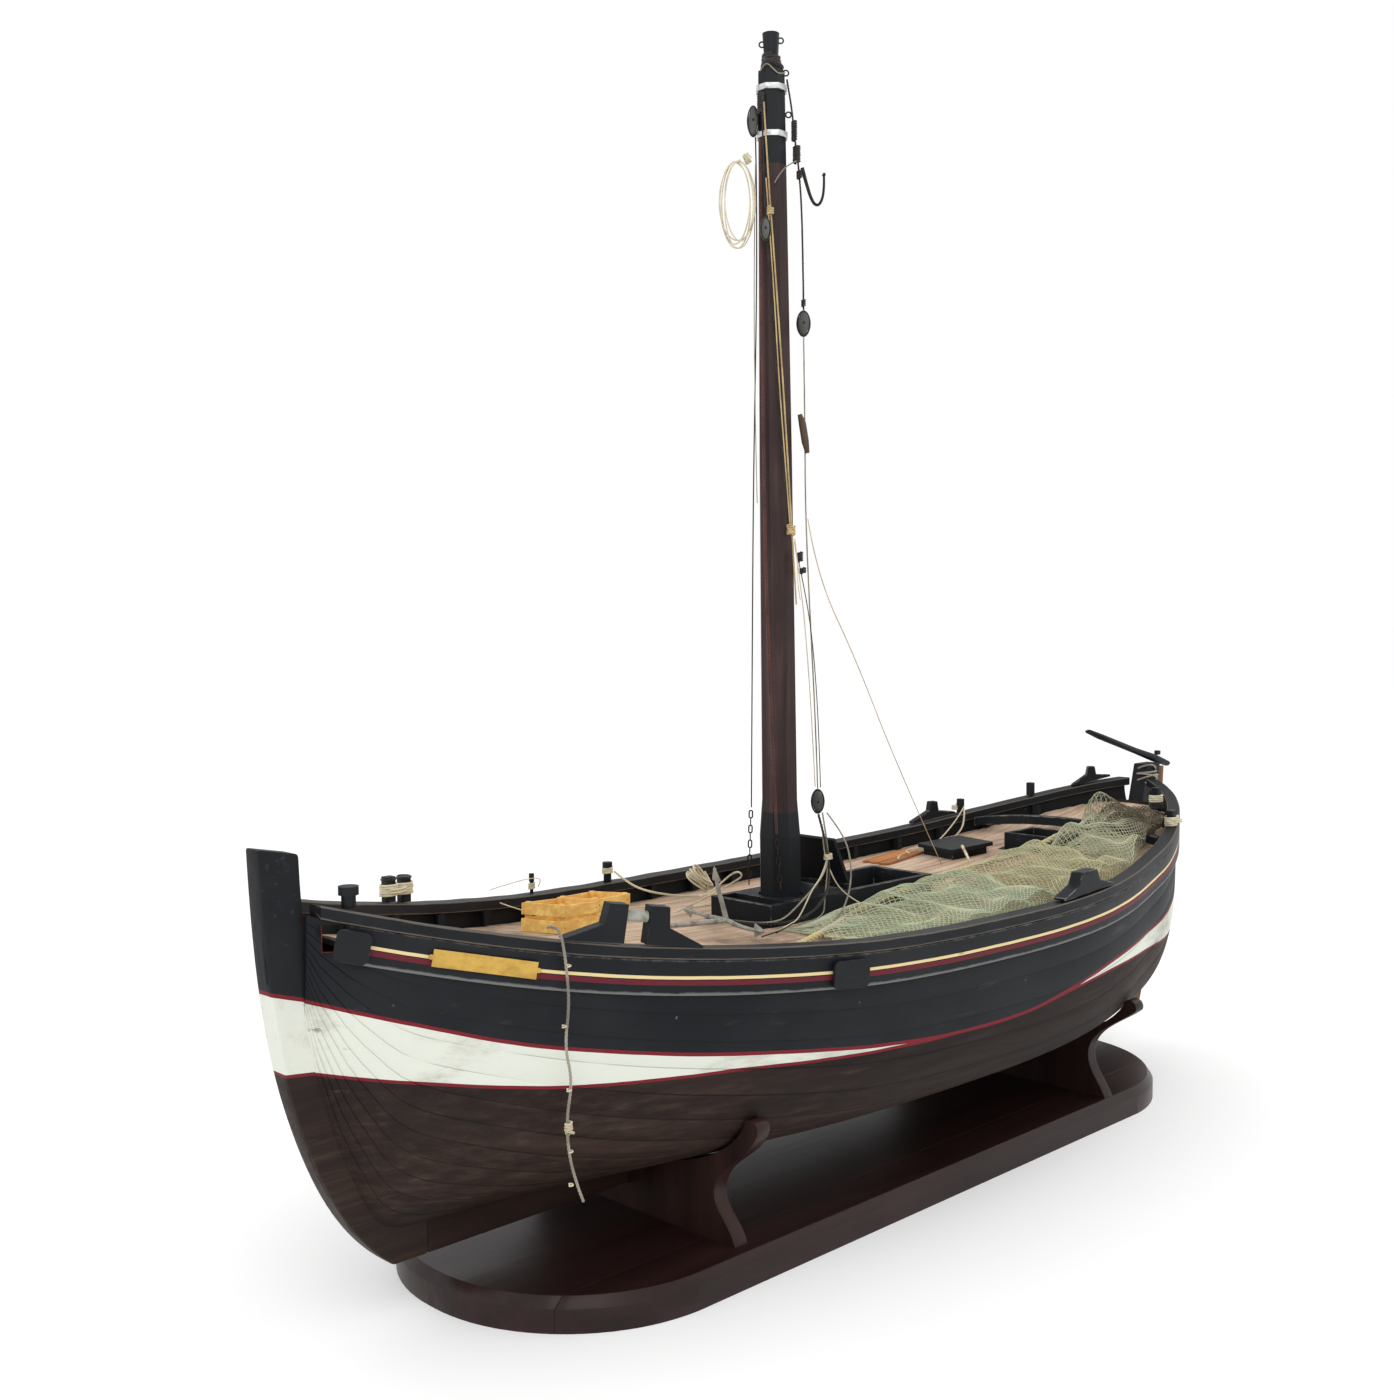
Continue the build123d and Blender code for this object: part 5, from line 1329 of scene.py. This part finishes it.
# ---- carried-over parts get their finishes and soft edges
carried = {"stand_board": "standWood", "cradle_fore": "cradleWood", "cradle_aft": "cradleWood",
           "keel": "keelWood", "keelson": "innerWood", "frames": "innerWood", "stem_post": "postPaint",
           "stern_post": "postPaint", "deck": "pitch", "deck_aft": "pitch", "stanchions": "blackPaint",
           "wale_pads": "blackPaint", "main_coaming": "hatchPaint", "mast_partner": "hatchPaint",
           "hatch_lid": "hatchPaint", "lid_hinge": "iron", "aft_coamings": "hatchPaint",
           "small_hatch_lid": "hatchPaint", "aft_beam": "blackPaint", "timberheads": "blackPaint",
           "rail_pins": "blackPaint", "rail_chocks": "blackPaint", "roller_chock": "blackPaint",
           "chock_roller": "greyIron", "rudder_blade": "rudderWood", "pintles": "iron", "gudgeons": "iron",
           "tiller": "blackPaint", "tiller_peg": "iron", "mast": "mastWood", "mast_bands": "silverBand",
           "mast_chains": "iron", "name_plate": "plateBrass"}
softEdges = {"stand_board": 0.0012, "cradle_fore": 0.0014, "cradle_aft": 0.0014, "stem_post": 0.0022,
             "main_coaming": 0.0009, "hatch_lid": 0.0005, "aft_coamings": 0.0006, "small_hatch_lid": 0.0007,
             "aft_beam": 0.0009, "timberheads": 0.0008, "rail_pins": 0.0008, "rail_chocks": 0.0009,
             "roller_chock": 0.0008, "wale_pads": 0.0006, "rudder_blade": 0.0012, "mast_partner": 0.0006,
             "stern_post": 0.0012, "keel": 0.0012, "mast_bands": 0.0004}
for node, finish in carried.items():
    made = frame["nodes"][node]
    made.data.materials.clear()
    made.data.materials.append(finishes[finish])
    if node in softEdges:
        join = made.modifiers.new("join", "WELD")
        join.merge_threshold = 0.00001
        rounded = made.modifiers.new("roundedEdges", "BEVEL")
        rounded.width, rounded.segments, rounded.angle_limit = softEdges[node], 2, math.radians(32)
        rounded.use_clamp_overlap = True
        if finish in ("blackPaint", "hatchPaint"):
            made.data.materials.append(finishes["rimPaint"])
            rounded.material = 1
print("carried parts finished:", len(carried))


# ---- floor and light
lamps = {"keyLight": ((-1.6, -1.6, 2.2), 1.6, 15), "fillLight": ((-2.2, 0.8, 1.4), 1.8, 5),
         "rimLight": ((1.8, -0.6, 1.9), 1.4, 8)}
floorHalf = 9


def stage():
    mesh = bpy.data.meshes.new("floor")
    corners = [(x * floorHalf, y * floorHalf, 0) for x, y in ((-1, -1), (1, -1), (1, 1), (-1, 1))]
    mesh.from_pydata(corners, [], [(0, 1, 2, 3)])
    floor = bpy.data.objects.new("floor", mesh)
    bpy.context.scene.collection.objects.link(floor)
    f = Finish("floorPaper", Emission_Color=(1, 1, 1, 1), Emission_Strength=0.22)
    mesh.materials.append(f.wire(Base_Color=f.blend((0.80, 0.80, 0.80), (0.83, 0.83, 0.83), f.mottle(2)),
                                 Roughness=0.8 + f.mottle(30) * 0.1))
    world = bpy.data.worlds.new("studio")
    bpy.context.scene.world = world
    world.use_nodes = True
    world.node_tree.nodes["Background"].inputs["Color"].default_value = (1, 1, 1, 1)
    world.node_tree.nodes["Background"].inputs["Strength"].default_value = 1.0
    for name, (place, size, power) in lamps.items():
        data = bpy.data.lights.new(name, "AREA")
        data.size, data.energy = size, power
        lamp = bpy.data.objects.new(name, data)
        bpy.context.scene.collection.objects.link(lamp)
        lamp.location = place
        lamp.rotation_mode = "QUATERNION"
        lamp.rotation_quaternion = (Vector(place) - Vector((0, 0, 0.3))).to_track_quat("Z", "Y")


stage()
bpy.context.scene.view_settings.view_transform = "Standard"
